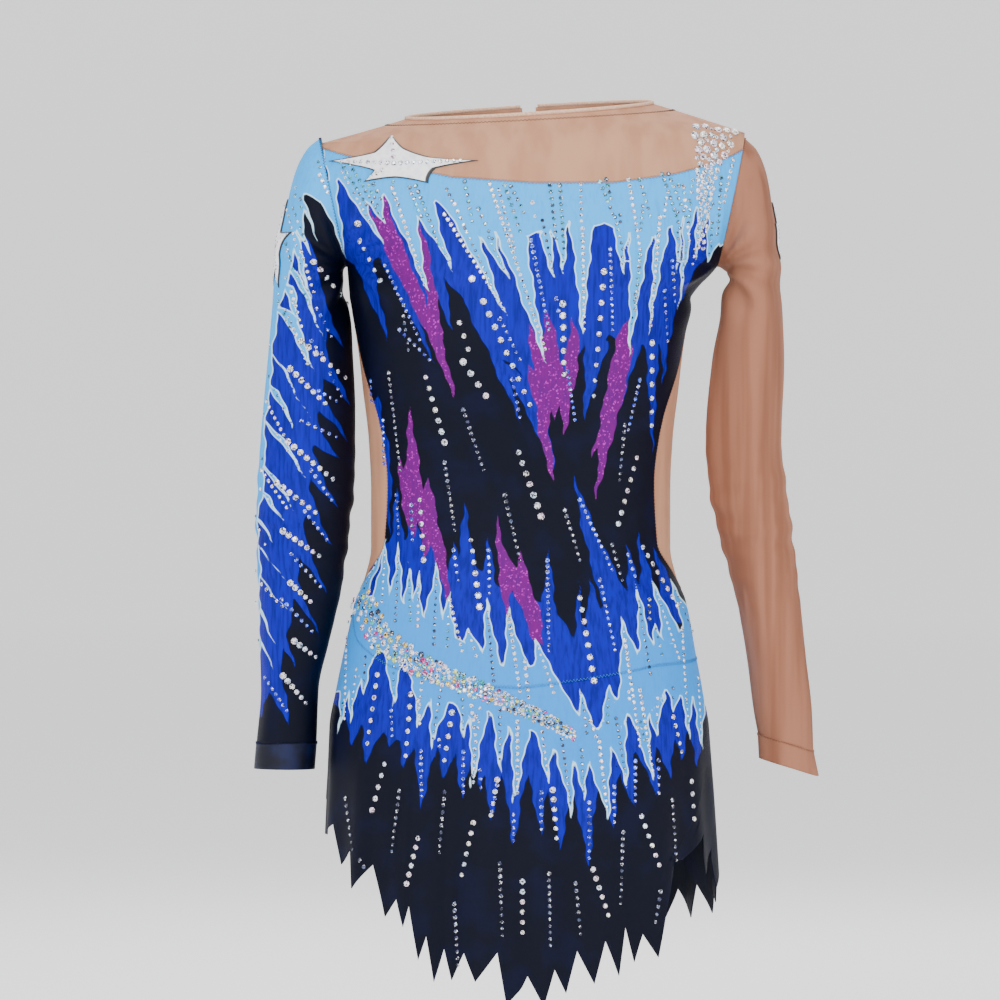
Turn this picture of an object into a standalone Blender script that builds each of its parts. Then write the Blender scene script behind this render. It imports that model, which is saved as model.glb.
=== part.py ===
"""A long-sleeved competition leotard with a pointed skirt, modelled as its sewn pieces.

Frame: +X is the wearer's left, the front faces -Y and +Z is up, in metres. The origin is the
middle of the shoulder rest, level with the neck edge. Every cloth piece is an open surface
given its thickness, and pieces that are sewn together keep a small seam gap.
"""

import math

import bmesh
import bpy
import numpy as np
from mathutils import Matrix, Vector

# Cloth and seams
FABRIC = 0.0012          # thickness of every cloth piece
SEAM_GAP = 0.0006        # between two pieces sewn edge to edge
LAYER_GAP = 0.0006       # between two pieces lying on each other
ARMHOLE_GAP = 0.0012     # between the armhole edge and the sleeve head
SKIRT_SEAM_GAP = 0.0016  # between the bodice and the skirt
INSERT_GAP = 0.0060      # between the bodice and the mesh inserts, whose edges curve

# Body of the garment: height, half width, front depth, back depth, from the neck edge down
BODY = (
    (0.000, 0.100, 0.058, 0.060),
    (-0.022, 0.171, 0.072, 0.0631),
    (-0.060, 0.163, 0.084, 0.0684),
    (-0.100, 0.155, 0.094, 0.0740),
    (-0.126, 0.150, 0.098, 0.0776),
    (-0.152, 0.139, 0.101, 0.0813),
    (-0.190, 0.1325, 0.101, 0.0866),
    (-0.228, 0.128, 0.094, 0.0900),
    (-0.267, 0.1235, 0.086, 0.0870),
    (-0.310, 0.1216, 0.080, 0.0810),
    (-0.354, 0.1216, 0.081, 0.0830),
    (-0.380, 0.127, 0.085, 0.0900),
    (-0.397, 0.134, 0.088, 0.0960),
    (-0.436, 0.1415, 0.094, 0.1080),
    (-0.470, 0.147, 0.098, 0.1150),
    (-0.500, 0.151, 0.099, 0.1180),
    (-0.550, 0.150, 0.090, 0.1080),
    (-0.600, 0.147, 0.062, 0.0760),
    (-0.636, 0.145, 0.032, 0.0380),
)
NECK_SHIFT = 0.007       # the neck sits this far to the wearer's left
NECK_ROLL = 0.063        # rise of the neck edge across X
NECK_PITCH = 0.12        # rise of the neck edge towards the back
NECK_FADE = 0.060        # height over which roll, pitch and shift die out

# Armholes, as the line across the front from the shoulder point down to the armpit
ARM_TOP_Z = -0.022
ARM_BOTTOM_Z = -0.126
ARMHOLE_LIMIT = 0.95     # most of the body's depth an armhole may take
SMALL_TURN = 1e-3
ARM_HALF_DEPTH = 0.042
SHOULDER_X = {"left": 0.182, "right": -0.163}
ARMPIT_X = {"left": 0.160, "right": -0.141}
SIDE_SIGN = {"left": 1.0, "right": -1.0}
SIDE_SEAM_T = 0.994      # where front and back pieces stop short of the side seam, as turn

# Seams across the front, as distance from the middle line (share of the half width) and height
YOKE_SEAM = (
    (-1.0, -0.0260), (-0.8, -0.037), (-0.33, -0.058), (0.0, -0.063),
    (0.33, -0.0625), (0.6, -0.055), (0.8, -0.0456), (1.0, -0.034),
)
BACK_YOKE_Z = -0.075     # the back yoke's lower seam
SKIRT_SEAM = (
    (-1.0, -0.400), (-0.78, -0.430), (-0.55, -0.448), (-0.28, -0.463),
    (0.0, -0.466), (0.28, -0.458), (0.55, -0.449), (1.0, -0.445),
)
# Side inserts: height and how far round the front the insert's edge stands (1 is the side)
INSERT_EDGE = (
    (-0.165, 0.985), (-0.200, 0.90), (-0.250, 0.74), (-0.300, 0.69),
    (-0.350, 0.72), (-0.375, 0.88), (-0.386, 0.985),
)

# Sleeves as rings: outer point and inner point across the front (x, z), and half depth in Y
SLEEVE_RINGS = {
    "left": (
        (0.1920, -0.032, 0.1625, -0.1272, 0.042),
        (0.2000, -0.052, 0.1655, -0.1290, 0.042),
        (0.2048, -0.080, 0.1685, -0.1310, 0.041),
        (0.2096, -0.116, 0.1690, -0.1345, 0.040),
        (0.2120, -0.158, 0.1650, -0.1580, 0.037),
        (0.2136, -0.204, 0.1560, -0.2040, 0.036),
        (0.2112, -0.267, 0.1510, -0.2670, 0.034),
        (0.2160, -0.310, 0.1544, -0.3100, 0.033),
        (0.2216, -0.353, 0.1640, -0.3530, 0.031),
        (0.2272, -0.402, 0.1768, -0.4020, 0.028),
        (0.2320, -0.446, 0.1840, -0.4450, 0.026),
        (0.2368, -0.487, 0.1890, -0.4860, 0.025),
    ),
    "right": (
        (-0.1735, -0.031, -0.1430, -0.1272, 0.042),
        (-0.1825, -0.048, -0.1440, -0.1300, 0.042),
        (-0.1890, -0.072, -0.1445, -0.1350, 0.041),
        (-0.1960, -0.106, -0.1440, -0.1440, 0.040),
        (-0.2008, -0.152, -0.1400, -0.1600, 0.037),
        (-0.2045, -0.197, -0.1370, -0.1970, 0.036),
        (-0.2088, -0.244, -0.1350, -0.2440, 0.035),
        (-0.2125, -0.292, -0.1352, -0.2920, 0.034),
        (-0.2144, -0.336, -0.1392, -0.3360, 0.032),
        (-0.2128, -0.390, -0.1464, -0.3900, 0.029),
        (-0.2120, -0.432, -0.1560, -0.4320, 0.027),
        (-0.2112, -0.469, -0.1640, -0.4690, 0.026),
    ),
}
CUFF_RINGS = {
    "left": (
        (0.2382, -0.520, 0.1925, -0.5060, 0.0245),
        (0.2400, -0.529, 0.1930, -0.5150, 0.0245),
        (0.2424, -0.540, 0.1936, -0.5256, 0.0245),
    ),
    "right": (
        (-0.2150, -0.513, -0.1655, -0.5130, 0.0250),
        (-0.2158, -0.522, -0.1662, -0.5220, 0.0250),
        (-0.2168, -0.534, -0.1672, -0.5344, 0.0250),
    ),
}
SLEEVE_SIDES = 14

# Skirt: it leaves the body at its seam, and flares
HIP_Z = -0.500           # below this the skirt keeps the hip's outline and flares from it
FLARE_SIDE = 0.050
FLARE_FRONT = 0.120
FLARE_BACK = 0.110
SKIRT_LIFT = 0.0002
# Front hem: cut points and the notch after each one, across the front (x, z)
FRONT_HEM = (
    (-0.1560, -0.587), (-0.1488, -0.577), (-0.1448, -0.609), (-0.1360, -0.596),
    (-0.1336, -0.627), (-0.1184, -0.607), (-0.1096, -0.648), (-0.0984, -0.633),
    (-0.0925, -0.655), (-0.0880, -0.638), (-0.0816, -0.681), (-0.0760, -0.662),
    (-0.0704, -0.698), (-0.0620, -0.671), (-0.0552, -0.696), (-0.0448, -0.674),
    (-0.0360, -0.697), (-0.0192, -0.674), (-0.0120, -0.715), (0.0048, -0.692),
    (0.0176, -0.716), (0.0264, -0.687), (0.0360, -0.706), (0.0450, -0.673),
    (0.0576, -0.699), (0.0656, -0.665), (0.0768, -0.693), (0.0832, -0.654),
    (0.0912, -0.683), (0.0976, -0.661), (0.1080, -0.680),
)
FRONT_HEM_END = (0.1230, -0.604)
BACK_HEM = ((1.0, -0.585), (1.5, -0.640), (2.0, -0.665), (2.5, -0.630), (3.0, -0.535))
BACK_POINTS = 17         # cut points along the back hem
BACK_POINT_DEPTH = 0.026
SKIRT_SIDE_T = 0.980     # the front skirt's side edges, as turn
SKIRT_PARTING = 0.020    # turn between the two skirts' edges
SKIRT_ROWS = 6
SKIRT_EDGE = (
    (-0.445, 0.98), (-0.540, 0.80), (-0.588, 0.63), (-0.604, 0.57), (-0.644, 0.53), (-0.720, 0.49),
)

# Brief: leg line as height and half width of cloth left, front and back
BRIEF_BOTTOM_Z = -0.6280
LEG_FRONT = ((-0.500, 0.151), (-0.520, 0.118), (-0.550, 0.080), (-0.590, 0.048), (-0.628, 0.035))
LEG_BACK = ((-0.500, 0.151), (-0.530, 0.134), (-0.565, 0.104), (-0.600, 0.068), (-0.628, 0.035))
BRIEF_LIFT = -0.0036     # the brief lies inside the skirt
GUSSET_HALF_WIDTH = 0.034
GUSSET_WAIST = 0.029
GUSSET_SAG = 0.009
BINDING_RADIUS = 0.0016
ELASTIC_RADIUS = 0.0009
EDGE_CLEARANCE = 0.0018
ELASTIC_INSET = 0.0045
ELASTIC_DEPTH = 0.0095   # from the cloth's outer face to the elastic's middle

# Bust lining
LINING_TOP_Z = -0.085
LINING_BOTTOM_Z = -0.235
LINING_REACH = 0.72
LINING_DEPTH = 0.0050    # from the bodice's outer face to the lining's

# Stone bands: centre line across the front (x, z) with the band's width
BELT_PATH = (
    (-0.130, -0.394, 0.020), (-0.112, -0.428, 0.019), (-0.081, -0.448, 0.017),
    (-0.041, -0.464, 0.014), (-0.017, -0.474, 0.012), (0.019, -0.490, 0.010), (0.043, -0.504, 0.007),
)
STRAP_PATH = (
    (0.1560, -0.016, 0.034), (0.1540, -0.030, 0.030), (0.1500, -0.045, 0.018),
    (0.1480, -0.066, 0.013), (0.1465, -0.090, 0.008), (0.1440, -0.114, 0.006),
)
BAND_THICKNESS = 0.0020
BELT_LIFT = 0.0012       # from the cloth to the underside of each band
STRAP_LIFT = 0.0040

# Starfish appliques: arm tips and the hollows between them (x, z)
CHEST_STAR = (
    (-0.155, -0.043), (-0.118, -0.037), (-0.104, -0.022), (-0.094, -0.034), (-0.072, -0.042),
    (-0.034, -0.045), (-0.068, -0.051), (-0.074, -0.063), (-0.100, -0.058), (-0.126, -0.061),
    (-0.118, -0.052), (-0.136, -0.047),
)
CHEST_STAR_CENTRE = (-0.101, -0.047)
SLEEVE_STAR_HEIGHT = {"left": -0.100, "right": -0.112}
SLEEVE_STAR_REACH = {"left": 0.026, "right": 0.040}
STAR_NARROWING = 0.6     # width of a sleeve star for its height
STAR_ARMS = 5
STAR_HOLLOW = 0.42       # hollow between two arms, as a share of an arm's reach
STAR_THICKNESS = 0.0012
STAR_LIFT = 0.0016

# Centre-back zip, in its own frame: Z runs up the zip and Y points out of the back
ZIP_TOP_Z = -0.006
ZIP_LENGTH = 0.200
ZIP_SINK = 0.0022        # the tapes' outer face lies this far under the cloth's outer face
BACK_OPENING = 0.0055    # half the opening between the two back halves
TAPE_WIDTH = 0.0090
TAPE_THICKNESS = 0.0005
DIVIDER_HALF = 0.00035
RUNNING_GAP = 0.0005     # between the slider's divider and the coils, each side
COIL_WIDTH = 0.0013
COIL_HEIGHT = 0.0012
COIL_LIFT = 0.0003
SLIDER_HALF_WIDTH = 0.0038
SLIDER_LENGTH = 0.0080
PLATE = 0.0010
PLATE_GAP = 0.0003
HINGE_CLEAR = 0.00105
BRIDGE = 0.0008
HINGE_ROOM = 0.0003      # play of the tab's bar under the bridge
SLOT_ROOM = 0.0005       # play of the tab's window round the bridge
WELD = 0.999             # sinks one box of the slider into another so that they join
TAB_NECK = 0.8           # width of the tab's neck for its head
BRIDGE_HALF_WIDTH = 0.0008
STOP_LENGTH = 0.0030
STOP_GAP = 0.0006
TAB_THICKNESS = 0.0010
TAB_LENGTH = 0.0220
TAB_HALF_WIDTH = 0.0024
TAB_WINDOW = 0.0042


def look(name, colour, roughness, metallic=0.0):
    """A plain material."""
    made = bpy.data.materials.new(name)
    made.use_nodes = True
    shader = made.node_tree.nodes["Principled BSDF"]
    shader.inputs["Base Color"].default_value = (*colour, 1.0)
    shader.inputs["Roughness"].default_value = roughness
    shader.inputs["Metallic"].default_value = metallic
    return made


def clear_scene():
    for old in list(bpy.data.objects):
        bpy.data.objects.remove(old)


def new_collection(name):
    made = bpy.data.collections.new(name)
    bpy.context.scene.collection.children.link(made)
    return made


clear_scene()
PARTS = new_collection("gymnastics_leotard")
CUTTERS = new_collection("leotard_cutters")
PRINTED = look("printed_lycra", (0.02, 0.05, 0.45), 0.45)
MESH = look("skin_mesh", (0.60, 0.36, 0.25), 0.75)
NAVY = look("navy_lycra", (0.005, 0.012, 0.05), 0.5)
LINING = look("lining_cloth", (0.62, 0.42, 0.32), 0.8)
ELASTIC = look("elastic", (0.80, 0.78, 0.74), 0.6)
STONES = look("set_stones", (0.75, 0.85, 0.90), 0.08)
WHITE = look("white_applique", (0.88, 0.88, 0.90), 0.5)
TAPE = look("zip_tape", (0.58, 0.36, 0.26), 0.8)
COIL = look("zip_coil", (0.60, 0.40, 0.30), 0.4)
METAL = look("zip_metal", (0.62, 0.48, 0.38), 0.3, 1.0)


def stations(table, z, column):
    """One column of a table of heights, read at the heights z, smooth between its rows."""
    rows = np.array(table)[::-1]
    height = rows[:, 0]
    value = rows[:, column]
    step = np.diff(value) / np.diff(height)
    slope = np.concatenate([[step[0]], np.where(step[1:] * step[:-1] > 0,
        2 * step[1:] * step[:-1] / np.where(step[1:] + step[:-1] == 0, 1, step[1:] + step[:-1]), 0), [step[-1]]])
    z = np.clip(z, height[0], height[-1])
    k = np.clip(np.searchsorted(height, z) - 1, 0, len(height) - 2)
    width = height[k + 1] - height[k]
    u = (z - height[k]) / width
    near = (2 * u**3 - 3 * u**2 + 1) * value[k] + (u**3 - 2 * u**2 + u) * width * slope[k]
    far = (3 * u**2 - 2 * u**3) * value[k + 1] + (u**3 - u**2) * width * slope[k + 1]
    return near + far


def side_x(side, z):
    """Where the garment's edge stands at height z: shoulder line, armhole line, then the side of the body."""
    sign = SIDE_SIGN[side]
    neck = NECK_SHIFT + sign * BODY[0][1]
    below = sign * stations(BODY, z, 1)
    under_z = BODY[5][0]
    under_x = sign * BODY[5][1]
    heights = [under_z, ARM_BOTTOM_Z, ARM_TOP_Z, 0.0]
    above = np.interp(z, heights, [under_x, ARMPIT_X[side], SHOULDER_X[side], neck])
    trim = np.where((z <= ARM_TOP_Z) & (z >= ARM_BOTTOM_Z), sign * ARMHOLE_GAP / 2, 0.0)
    return np.where(z < under_z, below, above - trim)


def armhole_depth(z):
    """Half the armhole's depth in Y at height z: an ellipse, and nothing outside the armhole."""
    middle = (ARM_TOP_Z + ARM_BOTTOM_Z) / 2
    half = (ARM_TOP_Z - ARM_BOTTOM_Z) / 2
    inside = np.clip(1 - ((z - middle) / half) ** 2, 0, 1)
    return ARM_HALF_DEPTH * np.sqrt(inside)


def torso(z, t):
    """Points on the garment's body. t runs round it: 0 front middle, 1 left, -1 right, 2 or -2 back middle."""
    z, t = np.broadcast_arrays(np.asarray(z, float), np.asarray(t, float))
    back = np.abs(t) > 1
    turn = np.where(back, np.sign(t) * (2 - np.abs(t)), t)
    depth = np.where(back, stations(BODY, z, 3), stations(BODY, z, 2))
    right = side_x("right", z)
    left = side_x("left", z)
    centre = (left + right) / 2
    edge = np.clip(armhole_depth(z) / depth, 0, ARMHOLE_LIMIT)
    reach = (left - right) / 2 / np.sqrt(1 - edge**2)
    angle = turn * np.arccos(edge)
    x = centre + reach * np.sin(angle)
    y = np.where(back, 1.0, -1.0) * depth * np.cos(angle)
    fade = np.clip(1 + z / NECK_FADE, 0, 1) ** 2
    return np.stack([x, y, z + fade * (NECK_ROLL * (x - NECK_SHIFT) + NECK_PITCH * y)], -1)


def normals_of(shape, z, t):
    """Outward directions on a surface given by height and turn, from small steps along it."""
    small = 1e-4
    across = shape(z, t + small) - shape(z, t - small)
    up = shape(z + small, t) - shape(z - small, t)
    out = np.cross(across, up)
    return out / np.maximum(np.linalg.norm(out, axis=-1, keepdims=True), 1e-12)


def lifted(shape, z, t, lift):
    """The surface's points moved out along its normals by lift."""
    z, t = np.broadcast_arrays(np.asarray(z, float), np.asarray(t, float))
    return shape(z, t) + lift * normals_of(shape, z, t)


def share_at(z, x):
    """The turn t at which the front of the body stands at x."""
    left = side_x("left", z)
    right = side_x("right", z)
    edge = np.clip(armhole_depth(z) / stations(BODY, z, 2), 0, ARMHOLE_LIMIT)
    reach = (left - right) / 2 / np.sqrt(1 - edge**2)
    return np.arcsin(np.clip((x - (left + right) / 2) / reach, -1, 1)) / np.arccos(edge)


def back_turn(side, z, x):
    """The turn at which the back of the body stands at x, counted round from that side."""
    left = side_x("left", z)
    right = side_x("right", z)
    edge = np.clip(armhole_depth(z) / stations(BODY, z, 3), 0, ARMHOLE_LIMIT)
    reach = (left - right) / 2 / np.sqrt(1 - edge**2)
    off_middle = np.arcsin((x - (left + right) / 2) / reach) / np.arccos(edge)
    return 2 - off_middle if side == "left" else -2 - off_middle


def seam(table, t):
    """Height of a seam across the front, by turn."""
    rows = np.array(table)
    return np.interp(t, rows[:, 0], rows[:, 1])


def finish(name, obj, material, smooth=True):
    """Names a finished piece, gives it its material, and files it with the parts."""
    obj.name = name
    obj.data.name = name
    obj.data.materials.clear()
    obj.data.materials.append(material)
    for home in list(obj.users_collection):
        home.objects.unlink(obj)
    PARTS.objects.link(obj)
    if smooth and obj.type == "MESH":
        obj.data.shade_smooth()
    return obj


def surface(name, material, points, thickness, closed=False, inward=True):
    """A cloth piece: a grid of points, rows by columns, made a sheet and given its thickness."""
    rows, columns = points.shape[:2]
    last = columns if closed else columns - 1
    faces = []
    for r in range(rows - 1):
        for c in range(last):
            d = (c + 1) % columns
            faces.append((r * columns + c, (r + 1) * columns + c, (r + 1) * columns + d, r * columns + d))
    mesh = bpy.data.meshes.new(name)
    mesh.from_pydata(points.reshape(-1, 3).tolist(), [], faces)
    mesh.validate()
    obj = bpy.data.objects.new(name, mesh)
    bpy.context.scene.collection.objects.link(obj)
    wall = obj.modifiers.new("thickness", "SOLIDIFY")
    wall.thickness = thickness
    wall.offset = -1.0 if inward else 1.0
    wall.use_even_offset = False
    return finish(name, obj, material)


def panel(name, material, turns, heights, lift=0.0):
    """A panel on the body. turns and heights are rows by columns."""
    return surface(name, material, lifted(torso, heights, turns, lift), FABRIC)


def grid(columns, rows):
    """Shares from 0 to 1 across and down, as two arrays of rows by columns."""
    return np.meshgrid(np.linspace(0, 1, columns + 1), np.linspace(0, 1, rows + 1))


def blend(low, high, share):
    return low + (high - low) * share


def seam_turn(half_gap, z, turn):
    """A seam gap as a share of turn, at height z."""
    return half_gap / (math.pi / 2 * stations(BODY, z, 1)) * np.ones_like(turn)


def yoke_heights(bottom, down):
    """Heights from the neck edge to a seam, with a row along the tops of the armholes."""
    shoulder = ARM_TOP_Z + SEAM_GAP
    return np.where(down < 0.5, blend(0.0, shoulder, 2 * down), blend(shoulder, bottom, 2 * down - 1))


def make_yokes():
    """The mesh above the chest, and the two halves above the back, either side of the zip."""
    across, down = grid(12, 6)
    turn = blend(-SIDE_SEAM_T, SIDE_SEAM_T, across)
    panel("yoke_front", MESH, turn, yoke_heights(seam(YOKE_SEAM, turn) + SEAM_GAP, down))
    across, down = grid(6, 6)
    for side, sign in SIDE_SIGN.items():
        heights = yoke_heights(BACK_YOKE_Z + SEAM_GAP / 2, down)
        inner = back_turn(side, heights, NECK_SHIFT + sign * BACK_OPENING)
        outer = sign * (2 - SIDE_SEAM_T)
        turn = blend(inner, outer, across) if sign > 0 else blend(outer, inner, across)
        panel(f"yoke_back_{side}", MESH, turn, heights)


def make_bodice():
    """The front from the yoke to the skirt, the two back halves, and the mesh inserts at the waist."""
    insert_top = INSERT_EDGE[0][0]
    across, down = grid(12, 15)
    share = blend(-1.0, 1.0, across)
    heights = blend(seam(YOKE_SEAM, share) - SEAM_GAP, seam(SKIRT_SEAM, share) + SKIRT_SEAM_GAP, down)
    limit = np.minimum(stations(INSERT_EDGE, heights, 1), SIDE_SEAM_T)
    limit = np.where(heights > insert_top, SIDE_SEAM_T, limit)
    panel("bodice_front", PRINTED, share * limit, heights)
    across, down = grid(6, 13)
    for side, sign in SIDE_SIGN.items():
        top = BACK_YOKE_Z - SEAM_GAP / 2
        middle = (seam(SKIRT_SEAM, 1.0) + seam(SKIRT_SEAM, -1.0)) / 2
        to_middle = across if sign < 0 else 1 - across
        foot = blend(seam(SKIRT_SEAM, sign), middle, to_middle) + SKIRT_SEAM_GAP
        heights = blend(top, foot, down)
        limit = np.minimum(stations(INSERT_EDGE, heights, 1), SIDE_SEAM_T)
        outer = sign * (2 - np.where(heights > insert_top, SIDE_SEAM_T, limit))
        opening = np.where(heights > ZIP_TOP_Z - ZIP_LENGTH - STOP_LENGTH, BACK_OPENING, SEAM_GAP)
        inner = back_turn(side, heights, NECK_SHIFT + sign * opening)
        turn = blend(inner, outer, across) if sign > 0 else blend(outer, inner, across)
        panel(f"bodice_back_{side}", PRINTED, turn, heights)
    across, down = grid(5, 9)
    foot = INSERT_EDGE[-1][0] + 2 * INSERT_GAP
    heights = blend(INSERT_EDGE[0][0] - INSERT_GAP, foot, down) * np.ones_like(across)
    edge = stations(INSERT_EDGE, heights, 1) + seam_turn(INSERT_GAP, heights, across)
    for side, sign in SIDE_SIGN.items():
        turn = blend(edge, 2 - edge, across) if sign > 0 else -blend(2 - edge, edge, across)
        panel(f"side_panel_{side}", MESH, turn, heights)


def make_lining():
    """The inner lining of the chest, one layer gap inside the bodice."""
    across, down = grid(8, 5)
    heights = blend(LINING_TOP_Z, LINING_BOTTOM_Z, down)
    turn = blend(-LINING_REACH, LINING_REACH, across)
    panel("bust_lining", LINING, turn, heights, -LINING_DEPTH)


def ring(outer_x, outer_z, inner_x, inner_z, depth, sides=SLEEVE_SIDES):
    """One ring of a sleeve: an ellipse through an outer and an inner point, that deep in Y."""
    angle = np.arange(sides) * 2 * math.pi / sides
    centre = np.array([(outer_x + inner_x) / 2, 0.0, (outer_z + inner_z) / 2])
    out = np.array([(outer_x - inner_x) / 2, 0.0, (outer_z - inner_z) / 2])
    deep = np.array([0.0, depth, 0.0])
    return centre + np.outer(np.cos(angle), out) + np.outer(np.sin(angle), deep)


def sleeve_head(side):
    """The ring that faces the armhole, the armhole gap away from it."""
    shift = SIDE_SIGN[side] * ARMHOLE_GAP / 2
    top = SHOULDER_X[side] + shift
    return (top, ARM_TOP_Z - ARMHOLE_GAP, ARMPIT_X[side] + shift, ARM_BOTTOM_Z, ARM_HALF_DEPTH)


def cuff_seam(side):
    """The sleeve's last ring, one seam gap above the cuff."""
    outer_x, outer_z, inner_x, inner_z, depth = CUFF_RINGS[side][0]
    return (outer_x, outer_z + SEAM_GAP, inner_x, inner_z + SEAM_GAP, depth)


def tube(name, material, rings, side):
    points = np.array([ring(*values) for values in rings])
    if SIDE_SIGN[side] < 0:
        points = points[:, ::-1]
    return surface(name, material, points, FABRIC, closed=True)


def make_sleeves(pivots):
    """Each sleeve and its cuff, under an empty that stands on the sleeve's own hinge line."""
    for side, material in (("left", MESH), ("right", PRINTED)):
        rings = [sleeve_head(side), *SLEEVE_RINGS[side], cuff_seam(side)]
        sleeve = tube(f"sleeve_{side}", material, rings, side)
        cuff = tube(f"cuff_{side}", material, CUFF_RINGS[side], side)
        for piece in (sleeve, cuff):
            hold(piece, pivots[side])


def hold(piece, pivot):
    """Parents a piece to its pivot and leaves it where it is."""
    piece.parent = pivot
    piece.matrix_parent_inverse = pivot.matrix_world.inverted()


def make_pivots():
    """Empties on the sleeves' hinge lines, just above the shoulder points."""
    pivots = {}
    for side, sign in SIDE_SIGN.items():
        pivot = bpy.data.objects.new(f"{side}_sleeve_pivot", None)
        pivot.location = (SHOULDER_X[side] + sign * ARMHOLE_GAP / 2, 0.0, ARM_TOP_Z + ARMHOLE_GAP)
        PARTS.objects.link(pivot)
        pivots[side] = pivot
    bpy.context.view_layer.update()
    return pivots


def skirt(z, t):
    """Points on the skirt: the body's outline to the hip, then flaring as it drops from its seam."""
    z, t = np.broadcast_arrays(np.asarray(z, float), np.asarray(t, float))
    front_turn = np.where(np.abs(t) > 1, np.sign(t), t)
    drop = np.clip(seam(SKIRT_SEAM, front_turn) - z, 0, None)
    held = np.maximum(z, HIP_Z)
    base = torso(held, t)
    back = np.abs(t) > 1
    x = base[..., 0] * (1 + FLARE_SIDE * drop / BODY[15][1])
    grow = np.where(back, FLARE_BACK, FLARE_FRONT) * drop
    y = base[..., 1] * (1 + grow / np.where(back, BODY[15][3], BODY[15][2]))
    return np.stack([x, y, z], -1)


def skirt_edge(z):
    """The turn of the front skirt's left side edge at height z."""
    rows = np.array(SKIRT_EDGE)[::-1]
    return np.interp(z, rows[:, 0], rows[:, 1])


def front_skirt():
    """The front sheet, with a column of its grid at every cut point and notch of the hem."""
    hem = np.array([*FRONT_HEM, FRONT_HEM_END])
    reach = stations(BODY, np.maximum(hem[:, 1], HIP_Z), 1) + FLARE_SIDE * (seam(SKIRT_SEAM, 0.0) - hem[:, 1])
    hem_turn = np.arcsin(np.clip(hem[:, 0] / reach, -1, 1)) * 2 / math.pi
    share = np.clip(hem_turn / np.where(hem_turn > 0, skirt_edge(hem[:, 1]), SKIRT_SIDE_T), -1, 1)
    down = np.linspace(0, 1, SKIRT_ROWS + 1)[:, None]
    heights = blend(seam(SKIRT_SEAM, share), hem[:, 1], down)
    turn = share * np.where(share > 0, skirt_edge(heights), SKIRT_SIDE_T)
    return surface("skirt_front", NAVY, lifted(skirt, heights, turn, SKIRT_LIFT), FABRIC)


def back_skirt():
    """The back sheet, from the front one's left edge round the back to its right, with even cut points."""
    share = np.linspace(0, 1, 2 * BACK_POINTS + 1)
    rows = np.array(BACK_HEM)
    hem_z = np.interp(1 + 2 * share, rows[:, 0], rows[:, 1])
    hem_z = hem_z + np.where(np.arange(len(share)) % 2 == 1, -0.5, 0.5) * BACK_POINT_DEPTH
    hem_z[0] = FRONT_HEM_END[1]
    down = np.linspace(0, 1, SKIRT_ROWS + 1)[:, None]
    top_z = np.interp(share, [0, 1], [SKIRT_SEAM[-1][1], SKIRT_SEAM[0][1]])
    heights = blend(top_z, hem_z, down)
    turn = blend(skirt_edge(heights) + SKIRT_PARTING, 4 - SKIRT_SIDE_T - SKIRT_PARTING, share)
    wrapped = np.where(turn > 2, turn - 4, turn)
    return surface("skirt_back", NAVY, back_skirt_points(heights, turn, wrapped), FABRIC)


def back_skirt_points(heights, turn, wrapped):
    """The back skirt's points. Its drop counts from a seam that runs evenly from side to side."""
    seam_z = np.interp(turn, [1, 3], [SKIRT_SEAM[-1][1], SKIRT_SEAM[0][1]])
    drop = np.clip(seam_z - heights, 0, None)
    base = torso(np.maximum(heights, HIP_Z), wrapped)
    back = np.abs(wrapped) > 1
    x = base[..., 0] * (1 + FLARE_SIDE * drop / BODY[15][1])
    grow = np.where(back, FLARE_BACK, FLARE_FRONT) * drop
    y = base[..., 1] * (1 + grow / np.where(back, BODY[15][3], BODY[15][2]))
    return np.stack([x, y, heights], -1)


def leg_turn(table, z, share):
    """The turn of a brief's column at height z, where the leg line narrows the cloth."""
    rows = np.array(table)[::-1]
    half = stations(BODY, z, 1)
    left = np.where(z > table[0][0], half, np.interp(z, rows[:, 0], rows[:, 1]))
    return share * np.arcsin(np.clip(left / half, 0, 1)) * 2 / math.pi * SIDE_SEAM_T


def make_brief():
    """The brief's front and back, and the two layers of the crotch between them."""
    across, down = grid(10, 9)
    share = blend(-1.0, 1.0, across)
    heights = blend(seam(SKIRT_SEAM, share), BRIEF_BOTTOM_Z, down)
    panel("brief_front", NAVY, leg_turn(LEG_FRONT, heights, share), heights, BRIEF_LIFT)
    top = blend(seam(SKIRT_SEAM, -1.0), seam(SKIRT_SEAM, 1.0), across)
    heights = blend(top, BRIEF_BOTTOM_Z, down)
    flat = leg_turn(LEG_BACK, heights, share)
    points = torso(heights, np.where(flat == 0, 2.0, np.sign(flat) * (2 - np.abs(flat))))
    points = points + BRIEF_LIFT * brief_out(heights, flat)
    surface("brief_back", NAVY, points[:, ::-1], FABRIC)
    for name, material, lift in (("crotch_gusset", NAVY, 0.0), ("gusset_lining", LINING, FABRIC + LAYER_GAP)):
        gusset(name, material, lift)


def brief_out(heights, flat):
    """Outward directions on the back of the brief."""
    turn = np.where(flat >= 0, 2 - np.abs(flat) - SMALL_TURN, -(2 - np.abs(flat)) + SMALL_TURN)
    return normals_of(torso, heights, turn)


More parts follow.
